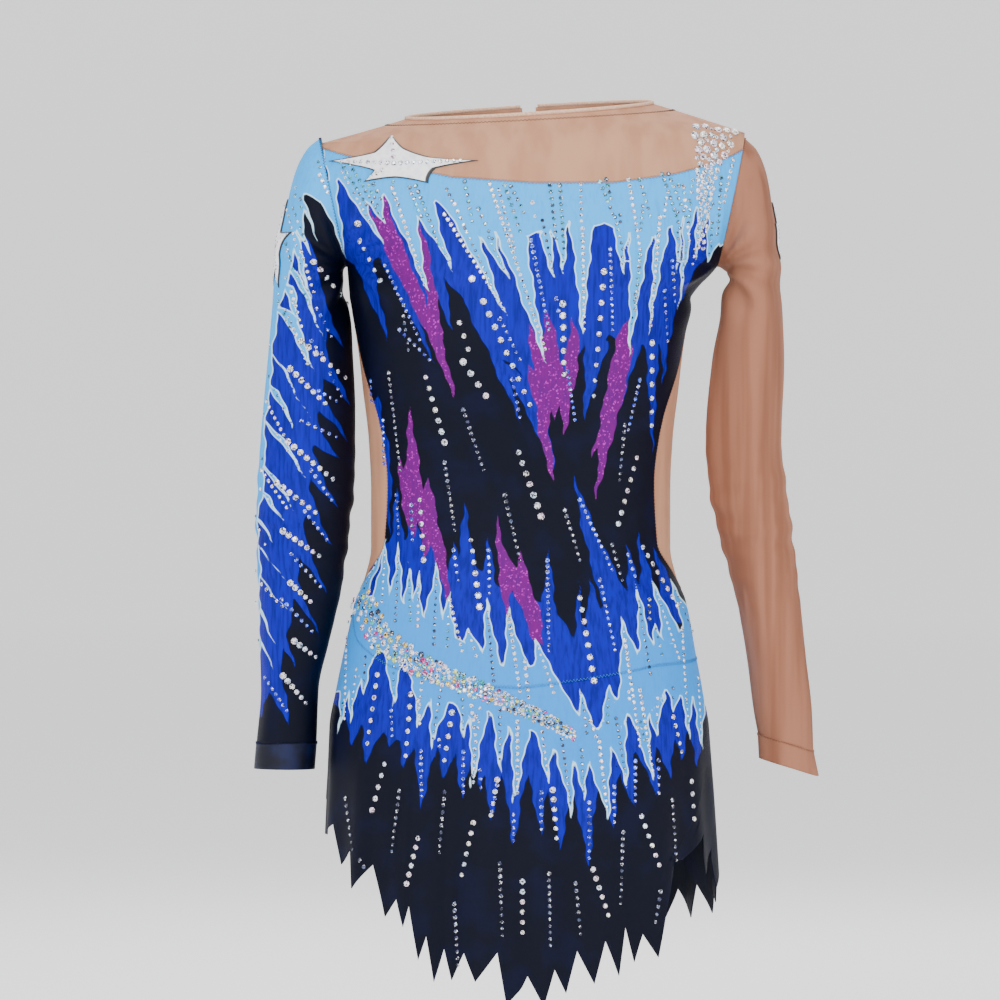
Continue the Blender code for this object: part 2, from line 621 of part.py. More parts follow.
def gusset(name, material, lift):
    """A saddle under the crotch, from the front of the brief to its back."""
    front = torso(BRIEF_BOTTOM_Z, 0.0)[1] + FABRIC + EDGE_CLEARANCE + lift
    back = torso(BRIEF_BOTTOM_Z, 2.0)[1] - FABRIC - EDGE_CLEARANCE - lift
    across, along = grid(4, 7)
    half = GUSSET_WAIST + (GUSSET_HALF_WIDTH - GUSSET_WAIST) * np.abs(2 * along - 1) ** 2
    x = (2 * across - 1) * half
    y = blend(front, back, along)
    z = BRIEF_BOTTOM_Z - EDGE_CLEARANCE - GUSSET_SAG * np.sin(math.pi * along) + lift
    surface(name, material, np.stack([x, y, z], -1), FABRIC)


def leg_line(side, count=9):
    """Points round a leg opening and the outward directions there: down the front, under, up the back."""
    sign = SIDE_SIGN[side]
    z = np.linspace(LEG_FRONT[0][0], BRIEF_BOTTOM_Z, count)
    front_t = sign * leg_turn(LEG_FRONT, z - 1e-6, 1.0)
    front = lifted(torso, z, front_t, BRIEF_LIFT)
    front_out = normals_of(torso, z, front_t)
    back_t = sign * (2 - leg_turn(LEG_BACK, z - 1e-6, 1.0))
    back = lifted(torso, z, back_t, BRIEF_LIFT)
    back_out = normals_of(torso, z, back_t)
    share = np.linspace(0, 1, 6)[1:-1, None]
    under = blend(front[-1], back[-1], share)
    under[:, 2] -= GUSSET_SAG * np.sin(math.pi * share[:, 0])
    widening = (GUSSET_HALF_WIDTH - GUSSET_WAIST) * np.abs(2 * share[:, 0] - 1) ** 2
    under[:, 0] = sign * (GUSSET_WAIST + widening)
    under_out = np.tile([0.0, 0.0, -1.0], (len(under), 1))
    points = np.concatenate([front, under, back[:0:-1]])
    return points, np.concatenate([front_out, under_out, back_out[:0:-1]])


def cord_ring(name, material, points, radius, closed):
    """A round cord through the points."""
    curve = bpy.data.curves.new(name, "CURVE")
    curve.dimensions = "3D"
    line = curve.splines.new("POLY")
    line.points.add(len(points) - 1)
    line.points.foreach_set("co", np.column_stack([points, np.ones(len(points))]).ravel())
    line.use_cyclic_u = closed
    curve.bevel_depth = radius
    curve.bevel_resolution = 1
    curve.use_fill_caps = not closed
    obj = bpy.data.objects.new(name, curve)
    bpy.context.scene.collection.objects.link(obj)
    return finish(name, obj, material)


def edge_rings(points, outs, closed):
    """Directions along a cloth edge and square to it within the cloth's own surface."""
    if closed:
        along = np.roll(points, -1, 0) - np.roll(points, 1, 0)
    else:
        along = np.gradient(points, axis=0)
    along /= np.linalg.norm(along, axis=1, keepdims=True)
    square = np.cross(along, outs)
    return square / np.linalg.norm(square, axis=1, keepdims=True)


def make_leg_edges():
    """Binding beyond each leg edge, and the elastic inside the cloth behind it."""
    for side in SIDE_SIGN:
        points, outs = leg_line(side)
        square = edge_rings(points, outs, True)
        centre = points.mean(0)
        away = np.sign(((centre - points) * square).sum(1).mean())
        square = square * away
        edge = points + square * (BINDING_RADIUS + EDGE_CLEARANCE)
        cord_ring(f"leg_binding_{side}", NAVY, edge, BINDING_RADIUS, True)
        inner = points - square * ELASTIC_INSET - outs * ELASTIC_DEPTH
        cord_ring(f"leg_elastic_{side}", ELASTIC, inner, ELASTIC_RADIUS, True)


def make_neck_edges():
    """Binding above the neck edge, open at the zip, and the elastic inside it."""
    gap = 2 - math.asin((BACK_OPENING + BINDING_RADIUS) / BODY[0][1]) * 2 / math.pi
    turn = np.linspace(-gap, gap, 37)
    points = torso(0.0, turn)
    outs = normals_of(torso, -1e-3, turn)
    square = edge_rings(points, outs, False)
    up = np.where(square[:, 2:3] > 0, square, -square)
    cord_ring("neck_binding", MESH, points + up * (BINDING_RADIUS + EDGE_CLEARANCE), BINDING_RADIUS, False)
    inner = points - up * ELASTIC_INSET - outs * ELASTIC_DEPTH
    cord_ring("neck_elastic", ELASTIC, inner[1:-1], ELASTIC_RADIUS, False)


def band(name, path, shape, lift):
    """A stone band along a line across the front, lying on a surface."""
    path = np.array(path)
    steps = np.linspace(0, len(path) - 1, 3 * len(path) - 2)
    line = np.stack([np.interp(steps, np.arange(len(path)), path[:, k]) for k in range(3)], -1)
    along = np.gradient(line[:, :2], axis=0)
    along /= np.linalg.norm(along, axis=1, keepdims=True)
    side = np.stack([-along[:, 1], along[:, 0]], -1)
    across = np.linspace(-0.5, 0.5, 4)
    flat = line[None, :, :2] + across[:, None, None] * line[None, :, 2:3] * side[None]
    z = flat[..., 1]
    turn = share_at(z, flat[..., 0])
    points = lifted(shape, z, turn, lift)
    across_step = points[0, 1] - points[0, 0]
    down_step = points[1, 0] - points[0, 0]
    if np.cross(down_step, across_step) @ normals_of(shape, z[:1, :1], turn[:1, :1])[0, 0] < 0:
        points = points[:, ::-1]
    return surface(name, STONES, points, BAND_THICKNESS, inward=False)


def make_bands():
    band("crystal_belt", BELT_PATH, skirt, BELT_LIFT)
    band("crystal_strap", STRAP_PATH, torso, STRAP_LIFT)


def patch(name, outline, centre, place, rows=4):
    """A flat cut shape laid on a surface: rings of its outline drawn in towards its centre."""
    outline = np.array(outline)
    centre = np.array(centre)
    share = np.linspace(0, 1, rows + 1)[1:]
    flat = centre + share[:, None, None] * (outline[None] - centre)
    points = place(flat[..., 0], flat[..., 1])
    middle = place(centre[None, 0], centre[None, 1])
    count = len(outline)
    mesh = bmesh.new()
    hub = mesh.verts.new(middle[0])
    loops = [[mesh.verts.new(p) for p in loop] for loop in points]
    for k in range(count):
        n = (k + 1) % count
        mesh.faces.new((hub, loops[0][k], loops[0][n]))
        for inner, outer in zip(loops, loops[1:]):
            mesh.faces.new((inner[k], outer[k], outer[n], inner[n]))
    bmesh.ops.recalc_face_normals(mesh, faces=mesh.faces)
    data = bpy.data.meshes.new(name)
    mesh.to_mesh(data)
    mesh.free()
    obj = bpy.data.objects.new(name, data)
    bpy.context.scene.collection.objects.link(obj)
    wall = obj.modifiers.new("thickness", "SOLIDIFY")
    wall.thickness = STAR_THICKNESS
    wall.offset = 0.0
    return finish(name, obj, WHITE)


def sleeve_place(side):
    """Lays (y, z) points on the outer face of a sleeve."""
    rings = np.array([sleeve_head(side), *SLEEVE_RINGS[side]])[::-1]
    sign = SIDE_SIGN[side]

    def place(y, z):
        outer = np.interp(z, rings[:, 1], rings[:, 0])
        inner = np.interp(z, rings[:, 1], rings[:, 2])
        depth = np.interp(z, rings[:, 1], rings[:, 4])
        half = (outer - inner) / 2
        x = (outer + inner) / 2 + half * np.sqrt(np.clip(1 - (y / depth) ** 2, 0, 1))
        return np.stack([x + sign * STAR_LIFT, y, z], -1)

    return place


def make_starfish(pivots):
    patch("starfish_chest", CHEST_STAR, CHEST_STAR_CENTRE,
        lambda x, z: lifted(torso, z, share_at(z, x), STAR_LIFT))
    for side in SIDE_SIGN:
        reach = SLEEVE_STAR_REACH[side]
        height = SLEEVE_STAR_HEIGHT[side]
        angle = np.arange(2 * STAR_ARMS) * math.pi / STAR_ARMS + math.pi / 2
        length = np.where(np.arange(2 * STAR_ARMS) % 2 == 0, reach, reach * STAR_HOLLOW)
        outline = np.stack([STAR_NARROWING * length * np.cos(angle), height + length * np.sin(angle)], -1)
        star = patch(f"starfish_sleeve_{side}", outline, (0.0, height), sleeve_place(side))
        hold(star, pivots[side])


def box(name, low, high, material, parent, home=None):
    """A box between two corners in its parent's frame."""
    mesh = bmesh.new()
    bmesh.ops.create_cube(mesh, size=1.0)
    size = Vector(high) - Vector(low)
    centre = (Vector(high) + Vector(low)) / 2
    placed = Matrix.Translation(centre) @ Matrix.Diagonal((*size, 1.0))
    bmesh.ops.transform(mesh, matrix=placed, verts=mesh.verts)
    data = bpy.data.meshes.new(name)
    mesh.to_mesh(data)
    mesh.free()
    obj = bpy.data.objects.new(name, data)
    bpy.context.scene.collection.objects.link(obj)
    finish(name, obj, material, smooth=False)
    obj.parent = parent
    if home:
        PARTS.objects.unlink(obj)
        home.objects.link(obj)
        obj.hide_render = True
        obj.display_type = "WIRE"
    return obj


def join_all(obj, others):
    """Joins boxes to a piece with Boolean unions."""
    for k, other in enumerate(others):
        union = obj.modifiers.new(f"join_{k}", "BOOLEAN")
        union.operation = "UNION"
        union.object = other


def zip_frame():
    """An empty at the zip's top, with Z up along the back's middle line and Y out of the back."""
    top = torso(ZIP_TOP_Z, 2.0)
    foot = torso(ZIP_TOP_Z - ZIP_LENGTH, 2.0)
    top[0] = NECK_SHIFT
    foot[0] = NECK_SHIFT
    up = Vector(top - foot).normalized()
    out = Vector((0.0, up.z, -up.y)).normalized()
    across = out.cross(up)
    frame = bpy.data.objects.new("zip_frame", None)
    frame.matrix_world = Matrix.Translation(Vector(top) - out * ZIP_SINK) @ Matrix((across, out, up)).transposed().to_4x4()
    PARTS.objects.link(frame)
    bpy.context.view_layer.update()
    return frame


def zip_sizes():
    """Places in the zip's frame that several of its pieces share."""
    inner = DIVIDER_HALF + RUNNING_GAP
    coil_top = COIL_LIFT + COIL_HEIGHT
    plate_top = coil_top + PLATE_GAP + PLATE
    hinge_y = plate_top + HINGE_CLEAR
    slider_top = -STOP_LENGTH - STOP_GAP
    return inner, coil_top, plate_top, hinge_y, slider_top


def make_zip():
    frame = zip_frame()
    inner, coil_top, plate_top, hinge_y, slider_top = zip_sizes()
    coil_start = slider_top
    foot = -ZIP_LENGTH
    for side, sign in SIDE_SIGN.items():
        near, far = sign * inner, sign * (inner + TAPE_WIDTH)
        low = (min(near, far), -TAPE_THICKNESS, foot)
        box(f"zip_tape_{side}", low, (max(near, far), 0.0, 0.0), TAPE, frame)
        far = sign * (inner + COIL_WIDTH)
        low = (min(near, far), COIL_LIFT, foot + STOP_LENGTH + STOP_GAP)
        box(f"zip_coil_{side}", low, (max(near, far), coil_top, coil_start), COIL, frame)
        low = (min(near, far), COIL_LIFT, -STOP_LENGTH)
        box(f"zip_top_stop_{side}", low, (max(near, far), coil_top, 0.0), METAL, frame)
    reach = inner + COIL_WIDTH
    box("zip_bottom_stop", (-reach, COIL_LIFT, foot), (reach, coil_top, foot + STOP_LENGTH), METAL, frame)
    make_slider(frame)


def make_slider(frame):
    """The slider: two plates joined by a divider between the coils, with a bridge for the pull tab."""
    inner, coil_top, plate_top, hinge_y, slider_top = zip_sizes()
    wide = SLIDER_HALF_WIDTH
    foot = slider_top - SLIDER_LENGTH
    middle = slider_top - SLIDER_LENGTH / 2
    under = -TAPE_THICKNESS - PLATE_GAP - PLATE
    bridge_in = hinge_y + HINGE_CLEAR
    half = HINGE_CLEAR + HINGE_ROOM
    overlap = PLATE / 2
    slider = box("zip_slider", (-wide, plate_top - PLATE, foot), (wide, plate_top, slider_top), METAL, frame)
    arch = BRIDGE_HALF_WIDTH
    pieces = (
        ((-wide, under, foot), (wide, under + PLATE, slider_top)),
        ((-DIVIDER_HALF, under + overlap, slider_top - PLATE * 3), (DIVIDER_HALF, plate_top - overlap, slider_top - PLATE / 2)),
        ((-arch, plate_top - overlap, middle + half), (arch, bridge_in + BRIDGE, middle + half + BRIDGE)),
        ((-arch, plate_top - overlap, middle - half - BRIDGE), (arch, bridge_in + BRIDGE, middle - half)),
        ((-arch * WELD, bridge_in, middle - half - BRIDGE / 2),
            (arch * WELD, bridge_in + BRIDGE * WELD, middle + half + BRIDGE / 2)),
    )
    cutters = [box(f"slider_join_{k}", low, high, METAL, frame, CUTTERS) for k, (low, high) in enumerate(pieces)]
    join_all(slider, cutters)
    pull_tab(frame, hinge_y, middle)


def pull_tab(frame, hinge_y, middle):
    """The pull tab: a flat drop shape with a window whose top bar lies under the bridge, on the hinge line."""
    bar = TAB_THICKNESS / 2
    slot = BRIDGE_HALF_WIDTH + SLOT_ROOM
    curve = bpy.data.curves.new("zip_pull_tab", "CURVE")
    curve.dimensions = "2D"
    curve.fill_mode = "BOTH"
    curve.extrude = TAB_THICKNESS / 2
    wide = TAB_HALF_WIDTH
    tip = [(wide * math.cos(a), -TAB_LENGTH + wide + wide * math.sin(a)) for a in np.linspace(0, -math.pi, 9)]
    neck = wide * TAB_NECK
    outer = [(neck, bar), (neck, -TAB_WINDOW), *tip, (-neck, -TAB_WINDOW), (-neck, bar)]
    window = [(slot, -bar), (-slot, -bar), (-slot, -TAB_WINDOW), (slot, -TAB_WINDOW)]
    for loop in (outer, window):
        line = curve.splines.new("POLY")
        line.points.add(len(loop) - 1)
        for point, (x, y) in zip(line.points, loop):
            point.co = (x, y, 0.0, 1.0)
        line.use_cyclic_u = True
    tab = bpy.data.objects.new("zip_pull_tab", curve)
    bpy.context.scene.collection.objects.link(tab)
    finish("zip_pull_tab", tab, METAL)
    tab.parent = frame
    tab.location = (0.0, hinge_y, middle)
    tab.rotation_euler = (math.pi / 2, 0.0, 0.0)


def main():
    make_yokes()
    make_bodice()
    make_lining()
    make_brief()
    make_leg_edges()
    make_neck_edges()
    front_skirt()
    back_skirt()
    pivots = make_pivots()
    make_sleeves(pivots)
    make_bands()
    make_starfish(pivots)
    make_zip()


main()
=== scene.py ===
"""The look of a long-sleeved competition leotard with a pointed skirt.

Every cloth piece is a surface given by two parameters: height, and the turn round the body or
the sleeve. Its print, seams, stones and appliques are laid on that same surface. Lengths are
in metres, and the tables of outlines are in millimetres across (x) and up (z).
"""

import math

import bpy
import numpy as np
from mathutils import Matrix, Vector


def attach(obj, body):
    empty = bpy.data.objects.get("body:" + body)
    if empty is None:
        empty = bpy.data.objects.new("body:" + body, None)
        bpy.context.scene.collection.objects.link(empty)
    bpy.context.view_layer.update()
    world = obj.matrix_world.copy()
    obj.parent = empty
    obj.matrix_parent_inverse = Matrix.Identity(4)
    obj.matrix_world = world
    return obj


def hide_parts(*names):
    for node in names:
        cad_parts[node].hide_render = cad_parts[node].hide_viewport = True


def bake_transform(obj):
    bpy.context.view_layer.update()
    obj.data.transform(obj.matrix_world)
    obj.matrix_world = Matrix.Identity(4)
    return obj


bl_info = {
    "name": "Competition leotard",
    "version": (1, 0, 0),
    "blender": (4, 5, 0),
    "location": "3D View > Sidebar > Leotard",
    "description": "Builds the cloth, print, stones and zip of a competition leotard",
    "category": "Object",
}

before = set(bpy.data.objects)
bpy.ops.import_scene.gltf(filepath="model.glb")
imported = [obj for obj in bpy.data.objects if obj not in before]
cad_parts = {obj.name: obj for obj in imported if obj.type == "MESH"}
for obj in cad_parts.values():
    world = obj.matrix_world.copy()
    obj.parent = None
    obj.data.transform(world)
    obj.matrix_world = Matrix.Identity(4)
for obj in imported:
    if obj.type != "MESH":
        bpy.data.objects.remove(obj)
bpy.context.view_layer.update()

MM = 0.001
ROOT = "garment_body"
SLEEVE_BODY = {"left": "sleeve_left_body", "right": "sleeve_right_body"}
SIDE_SIGN = {"left": 1.0, "right": -1.0}

# Body of the garment: height, half width, front depth, back depth, from the neck edge down
BODY = (
    (0.000, 0.100, 0.058, 0.060),
    (-0.022, 0.171, 0.072, 0.0631),
    (-0.060, 0.163, 0.084, 0.0684),
    (-0.100, 0.155, 0.094, 0.0740),
    (-0.126, 0.150, 0.098, 0.0776),
    (-0.152, 0.139, 0.101, 0.0813),
    (-0.190, 0.1325, 0.101, 0.0866),
    (-0.228, 0.128, 0.094, 0.0900),
    (-0.267, 0.1235, 0.086, 0.0870),
    (-0.310, 0.1216, 0.080, 0.0810),
    (-0.354, 0.1216, 0.081, 0.0830),
    (-0.380, 0.127, 0.085, 0.0900),
    (-0.397, 0.134, 0.088, 0.0960),
    (-0.436, 0.1415, 0.094, 0.1080),
    (-0.470, 0.147, 0.098, 0.1150),
    (-0.500, 0.151, 0.099, 0.1180),
    (-0.550, 0.150, 0.090, 0.1080),
    (-0.600, 0.147, 0.062, 0.0760),
    (-0.636, 0.145, 0.032, 0.0380),
)
HIP_ROW = 15             # the row of BODY at the widest hip
UNDERARM_ROW = 5         # the row of BODY just below the armholes
NECK_SHIFT = 0.007       # the neck sits this far to the wearer's left
NECK_ROLL = 0.063        # rise of the neck edge across X
NECK_PITCH = 0.12        # rise of the neck edge towards the back
NECK_FADE = 0.060        # height over which roll, pitch and shift die out

# Armholes
ARM_TOP_Z = -0.022
ARM_BOTTOM_Z = -0.126
ARM_HALF_DEPTH = 0.042
SHOULDER_X = {"left": 0.182, "right": -0.163}
ARMPIT_X = {"left": 0.160, "right": -0.141}
JOIN_WIDTH = 0.012       # the band next to the armhole: the sleeve's rows are crowded over one and a half times this
JOIN_ROWS = 16
SLEEVE_SIDES = 96
ELBOW = 0.27             # from the armhole down the sleeve
ELBOW_FOLD = 0.0006
PULL_FOLD = 0.0007       # depth of the long soft folds down a sleeve

# Seams across the front, as share of turn and height
YOKE_SEAM = (
    (-1.0, -0.0260), (-0.8, -0.037), (-0.33, -0.058), (0.0, -0.063),
    (0.33, -0.0625), (0.6, -0.055), (0.8, -0.0456), (1.0, -0.034),
)
BACK_YOKE_Z = -0.075
SKIRT_SEAM = (
    (-1.0, -0.400), (-0.78, -0.430), (-0.55, -0.448), (-0.28, -0.463),
    (0.0, -0.466), (0.28, -0.458), (0.55, -0.449), (1.0, -0.445),
)
INSERT_EDGE = (
    (-0.163, 1.0), (-0.200, 0.90), (-0.250, 0.74), (-0.300, 0.69),
    (-0.350, 0.72), (-0.375, 0.88), (-0.388, 1.0),
)

# Sleeves as rings: outer point and inner point across the front (x, z), and half depth in Y
SLEEVE_RINGS = {
    "left": (
        (0.1920, -0.032, 0.1625, -0.1272, 0.042),
        (0.2000, -0.052, 0.1655, -0.1290, 0.042),
        (0.2048, -0.080, 0.1685, -0.1310, 0.041),
        (0.2096, -0.116, 0.1690, -0.1345, 0.040),
        (0.2120, -0.158, 0.1650, -0.1580, 0.037),
        (0.2136, -0.204, 0.1560, -0.2040, 0.036),
        (0.2112, -0.267, 0.1510, -0.2670, 0.034),
        (0.2160, -0.310, 0.1544, -0.3100, 0.033),
        (0.2216, -0.353, 0.1640, -0.3530, 0.031),
        (0.2272, -0.402, 0.1768, -0.4020, 0.028),
        (0.2320, -0.446, 0.1840, -0.4450, 0.026),
        (0.2368, -0.487, 0.1890, -0.4860, 0.025),
        (0.2382, -0.520, 0.1925, -0.5060, 0.0245),
    ),
    "right": (
        (-0.1735, -0.031, -0.1430, -0.1272, 0.042),
        (-0.1825, -0.048, -0.1440, -0.1300, 0.042),
        (-0.1890, -0.072, -0.1445, -0.1350, 0.041),
        (-0.1960, -0.106, -0.1440, -0.1440, 0.040),
        (-0.2008, -0.152, -0.1400, -0.1600, 0.037),
        (-0.2045, -0.197, -0.1370, -0.1970, 0.036),
        (-0.2088, -0.244, -0.1350, -0.2440, 0.035),
        (-0.2125, -0.292, -0.1352, -0.2920, 0.034),
        (-0.2144, -0.336, -0.1392, -0.3360, 0.032),
        (-0.2128, -0.390, -0.1464, -0.3900, 0.029),
        (-0.2120, -0.432, -0.1560, -0.4320, 0.027),
        (-0.2112, -0.469, -0.1640, -0.4690, 0.026),
        (-0.2150, -0.513, -0.1655, -0.5130, 0.0250),
    ),
}
CUFF_RINGS = {
    "left": (
        (0.2382, -0.520, 0.1925, -0.5060, 0.0245),
        (0.2400, -0.529, 0.1930, -0.5150, 0.0245),
        (0.2424, -0.540, 0.1936, -0.5256, 0.0245),
    ),
    "right": (
        (-0.2150, -0.513, -0.1655, -0.5130, 0.0250),
        (-0.2158, -0.522, -0.1662, -0.5220, 0.0250),
        (-0.2168, -0.534, -0.1672, -0.5344, 0.0250),
    ),
}

# Skirt
HIP_Z = -0.500
FLARE_SIDE = 0.050
FLARE_FRONT = 0.120
FLARE_BACK = 0.110
FRONT_HEM = (
    (-0.1560, -0.587), (-0.1488, -0.577), (-0.1448, -0.609), (-0.1360, -0.596),
    (-0.1336, -0.627), (-0.1184, -0.607), (-0.1096, -0.648), (-0.0984, -0.633),
    (-0.0925, -0.655), (-0.0880, -0.638), (-0.0816, -0.681), (-0.0760, -0.662),
    (-0.0704, -0.698), (-0.0620, -0.671), (-0.0552, -0.696), (-0.0448, -0.674),
    (-0.0360, -0.697), (-0.0192, -0.674), (-0.0120, -0.715), (0.0048, -0.692),
    (0.0176, -0.716), (0.0264, -0.687), (0.0360, -0.706), (0.0450, -0.673),
    (0.0576, -0.699), (0.0656, -0.665), (0.0768, -0.693), (0.0832, -0.654),
    (0.0912, -0.683), (0.0976, -0.661), (0.1080, -0.680), (0.1230, -0.604),
)
BACK_HEM = ((1.0, -0.585), (1.5, -0.640), (2.0, -0.665), (2.5, -0.630), (3.0, -0.535))
BACK_POINTS = 17
BACK_POINT_DEPTH = 0.026
SKIRT_SIDE_T = 0.980
SKIRT_PARTING = 0.020
SKIRT_EDGE = (
    (-0.445, 0.98), (-0.540, 0.80), (-0.588, 0.63), (-0.604, 0.57), (-0.644, 0.53), (-0.720, 0.49),
)
FLUTE_DEPTH = 0.0022     # how far the hem ripples in and out
FLUTES = 9

# Brief and crotch
BRIEF_BOTTOM_Z = -0.6280
LEG_FRONT = ((-0.500, 0.151), (-0.520, 0.118), (-0.550, 0.080), (-0.590, 0.048), (-0.628, 0.035))
LEG_BACK = ((-0.500, 0.151), (-0.530, 0.134), (-0.565, 0.104), (-0.600, 0.068), (-0.628, 0.035))
BRIEF_LIFT = -0.0036
GUSSET_HALF_WIDTH = 0.034
GUSSET_WAIST = 0.029
GUSSET_SAG = 0.009
BINDING_RADIUS = 0.0016
ELASTIC_RADIUS = 0.0009
ELASTIC_INSET = 0.0045
ELASTIC_DEPTH = 0.0095

# Lining of the chest
LINING_TOP_Z = -0.085
LINING_BOTTOM_Z = -0.235
LINING_REACH = 0.72
LINING_DEPTH = 0.0050

# Centre-back zip
ZIP_TOP_Z = -0.006
ZIP_LENGTH = 0.200
ZIP_SINK = 0.0022
BACK_OPENING = 0.0055
COIL_CENTRE = 0.0015     # from the zip's middle line to the middle of each coil
COIL_RADIUS = 0.00060
COIL_PITCH = 0.0013
COIL_WIRE = 0.00026
COIL_LIFT = 0.0009       # from the tapes' outer face to the coils' middle
COIL_START = 0.0037      # from the top of the tapes to the first turn
TAPE_INNER = 0.00085
TAPE_WIDTH = 0.0090
TAPE_THICKNESS = 0.0005
METAL_EDGE = 0.00015     # rounding of the slider's edges

# Stone bands: centre line across the front (x, z) with the band's width
BELT_PATH = (
    (-0.130, -0.394, 0.020), (-0.112, -0.428, 0.019), (-0.081, -0.448, 0.017),
    (-0.041, -0.464, 0.014), (-0.017, -0.474, 0.012), (0.019, -0.490, 0.010), (0.043, -0.504, 0.007),
)
STRAP_PATH = (
    (0.1560, -0.016, 0.034), (0.1540, -0.030, 0.030), (0.1500, -0.045, 0.018),
    (0.1480, -0.066, 0.013), (0.1465, -0.090, 0.008), (0.1440, -0.114, 0.006),
)

# Starfish: arm tips and the hollows between them (x, z), and the sleeve stars' sizes
CHEST_STAR = (
    (-0.155, -0.043), (-0.118, -0.037), (-0.104, -0.022), (-0.094, -0.034), (-0.072, -0.042),
    (-0.034, -0.045), (-0.068, -0.051), (-0.074, -0.063), (-0.100, -0.058), (-0.126, -0.061),
    (-0.118, -0.052), (-0.136, -0.047),
)
CHEST_STAR_CENTRE = (-0.101, -0.047)
SLEEVE_STAR_HEIGHT = {"left": -0.100, "right": -0.112}
SLEEVE_STAR_REACH = {"left": 0.026, "right": 0.040}
STAR_ARMS = 5
STAR_NARROWING = 0.6
SLEEVE_STAR_FORWARD = {"left": 0.0, "right": -0.008}
STAR_HOLLOW = 0.42
STAR_PUFF = 0.0014
STAR_WAIST = 0.05        # how far a starfish's edges bow in to its centre
STAR_STONE = {"chest": 0.0022, "sleeve": 0.0013}

# Cut sizes: worn lycra is stretched by this much each way
NECK_STITCH_Z = -0.0052
STITCH_WIDTH = 0.0020
NARROW_STITCH = 0.0018
STITCH_PITCH = 0.0014
NECK_PITCH_STITCH = 0.0016
# least share of its flat rectangle that a cloth piece may be declared to fill
LEAST_FILL = 0.31        # least share of its flat rectangle that a cloth piece's worked-out area is held to
STRETCH = 1.10
EDGE_GIVE = 0.0004       # soft edge of a print colour
OUTLINE = 0.0009         # pale line inside the edge of a light blue flame
FLAME_BOW = 0.13         # how far a flame's sides bow in, as a share of its width
FLAME_ROOT = 5.0         # how far a flame reaches back into the colour it grows from, in mm
HAND_WANDER = 0.0008     # how far the printed outlines wander from straight

# Light blue over the chest
SKY_CHEST = (
    ((-177, 12), (-162, -20), (-153, -68), (-147, -58), (-123, -78), (-110, -72), (-82, -90), (-68, -78),
     (-32, -108), (-21, -102), (5, -106), (24, -101), (38, -94), (58, -98), (65, -95), (73, -100),
     (86, -103), (105, -106), (120, -98), (130, -90), (140, -81), (150, -86), (161, -112), (199, -76),
     (199, 12)),
)
# Its flames: left foot, right foot and tip, as x, z pairs
SKY_CHEST_TEETH = (
    (-167, -64, -148, -62, -141, -120), (-147, -58, -123, -78, -110, -113),
    (-122, -78, -111, -73, -108, -97), (-110, -72, -82, -90, -74, -151), (-82, -90, -70, -78, -54, -134),
    (-62, -81, -32, -108, -12, -170), (-32, -108, -21, -102, -9, -143), (-21, -102, 5, -108, 20, -209),
    (15, -111, 24, -101, 27, -142), (24, -101, 38, -94, 34, -138), (38, -94, 58, -99, 49, -189),
    (73, -100, 86, -103, 81, -138), (86, -105, 104, -106, 86, -202), (106, -108, 119, -98, 102, -184),
    (121, -98, 130, -90, 126, -134), (130, -92, 140, -81, 127, -164), (141, -82, 150, -86, 139, -126),
    (150, -86, 166, -104, 149, -126),
)
# Light blue round the hips
SKY_HIP = (
    ((-157, -428), (-127, -395), (-114, -390), (-104, -394), (-94, -398), (-78, -408), (-62, -420),
     (-42, -432), (-26, -441), (-7, -450), (13, -447), (35, -468), (45, -486), (61, -498), (77, -474),
     (79, -468), (94, -436), (111, -433), (122, -430), (130, -419), (143, -416), (167, -428), (167, -472),
     (143, -472), (137, -476), (127, -473), (116, -469), (102, -489), (85, -486), (71, -517), (53, -526),
     (42, -524), (25, -514), (8, -499), (-10, -497), (-25, -485), (-41, -490), (-55, -477), (-72, -475),
     (-84, -468), (-94, -444), (-109, -440), (-114, -437), (-124, -450), (-137, -468), (-157, -476)),
)
# Its flames, up and down
SKY_HIP_TEETH = (
    (-141, -406, -124, -394, -106, -344), (-119, -391, -104, -394, -109, -348),
    (-106, -394, -94, -398, -98, -348), (-94, -398, -84, -402, -90, -366),
    (-87, -400, -78, -409, -82, -370), (-78, -407, -60, -421, -67, -365), (-65, -416, -52, -426, -57, -388),
    (-47, -428, -28, -440, -43, -417), (-31, -438, -16, -446, -28, -391), (-14, -446, 6, -448, -11, -400),
    (9, -447, 35, -468, 11, -425), (45, -486, 57, -497, 48, -464), (62, -495, 76, -475, 70, -462),
    (77, -476, 93, -438, 81, -407), (94, -438, 107, -434, 92, -382), (105, -434, 118, -432, 107, -414),
    (114, -430, 129, -422, 105, -378), (130, -420, 145, -416, 120, -378),
    (-146, -468, -137, -468, -148, -506), (-139, -466, -129, -462, -138, -497),
    (-132, -455, -119, -446, -127, -474), (-110, -440, -94, -444, -102, -482),
    (-87, -466, -73, -476, -82, -498), (-73, -475, -58, -478, -72, -517), (-51, -480, -42, -489, -46, -512),
    (-41, -490, -26, -486, -40, -550), (-24, -486, -10, -498, -17, -533), (-9, -498, 7, -500, -6, -562),
    (10, -500, 25, -514, 22, -542), (26, -514, 42, -524, 41, -571), (43, -524, 54, -527, 50, -556),
    (54, -527, 72, -516, 70, -572), (72, -514, 84, -495, 85, -546), (86, -487, 102, -489, 106, -542),
    (103, -490, 115, -476, 108, -507), (117, -470, 127, -474, 122, -486), (128, -474, 138, -477, 136, -510),
    (138, -476, 150, -474, 146, -518),
)
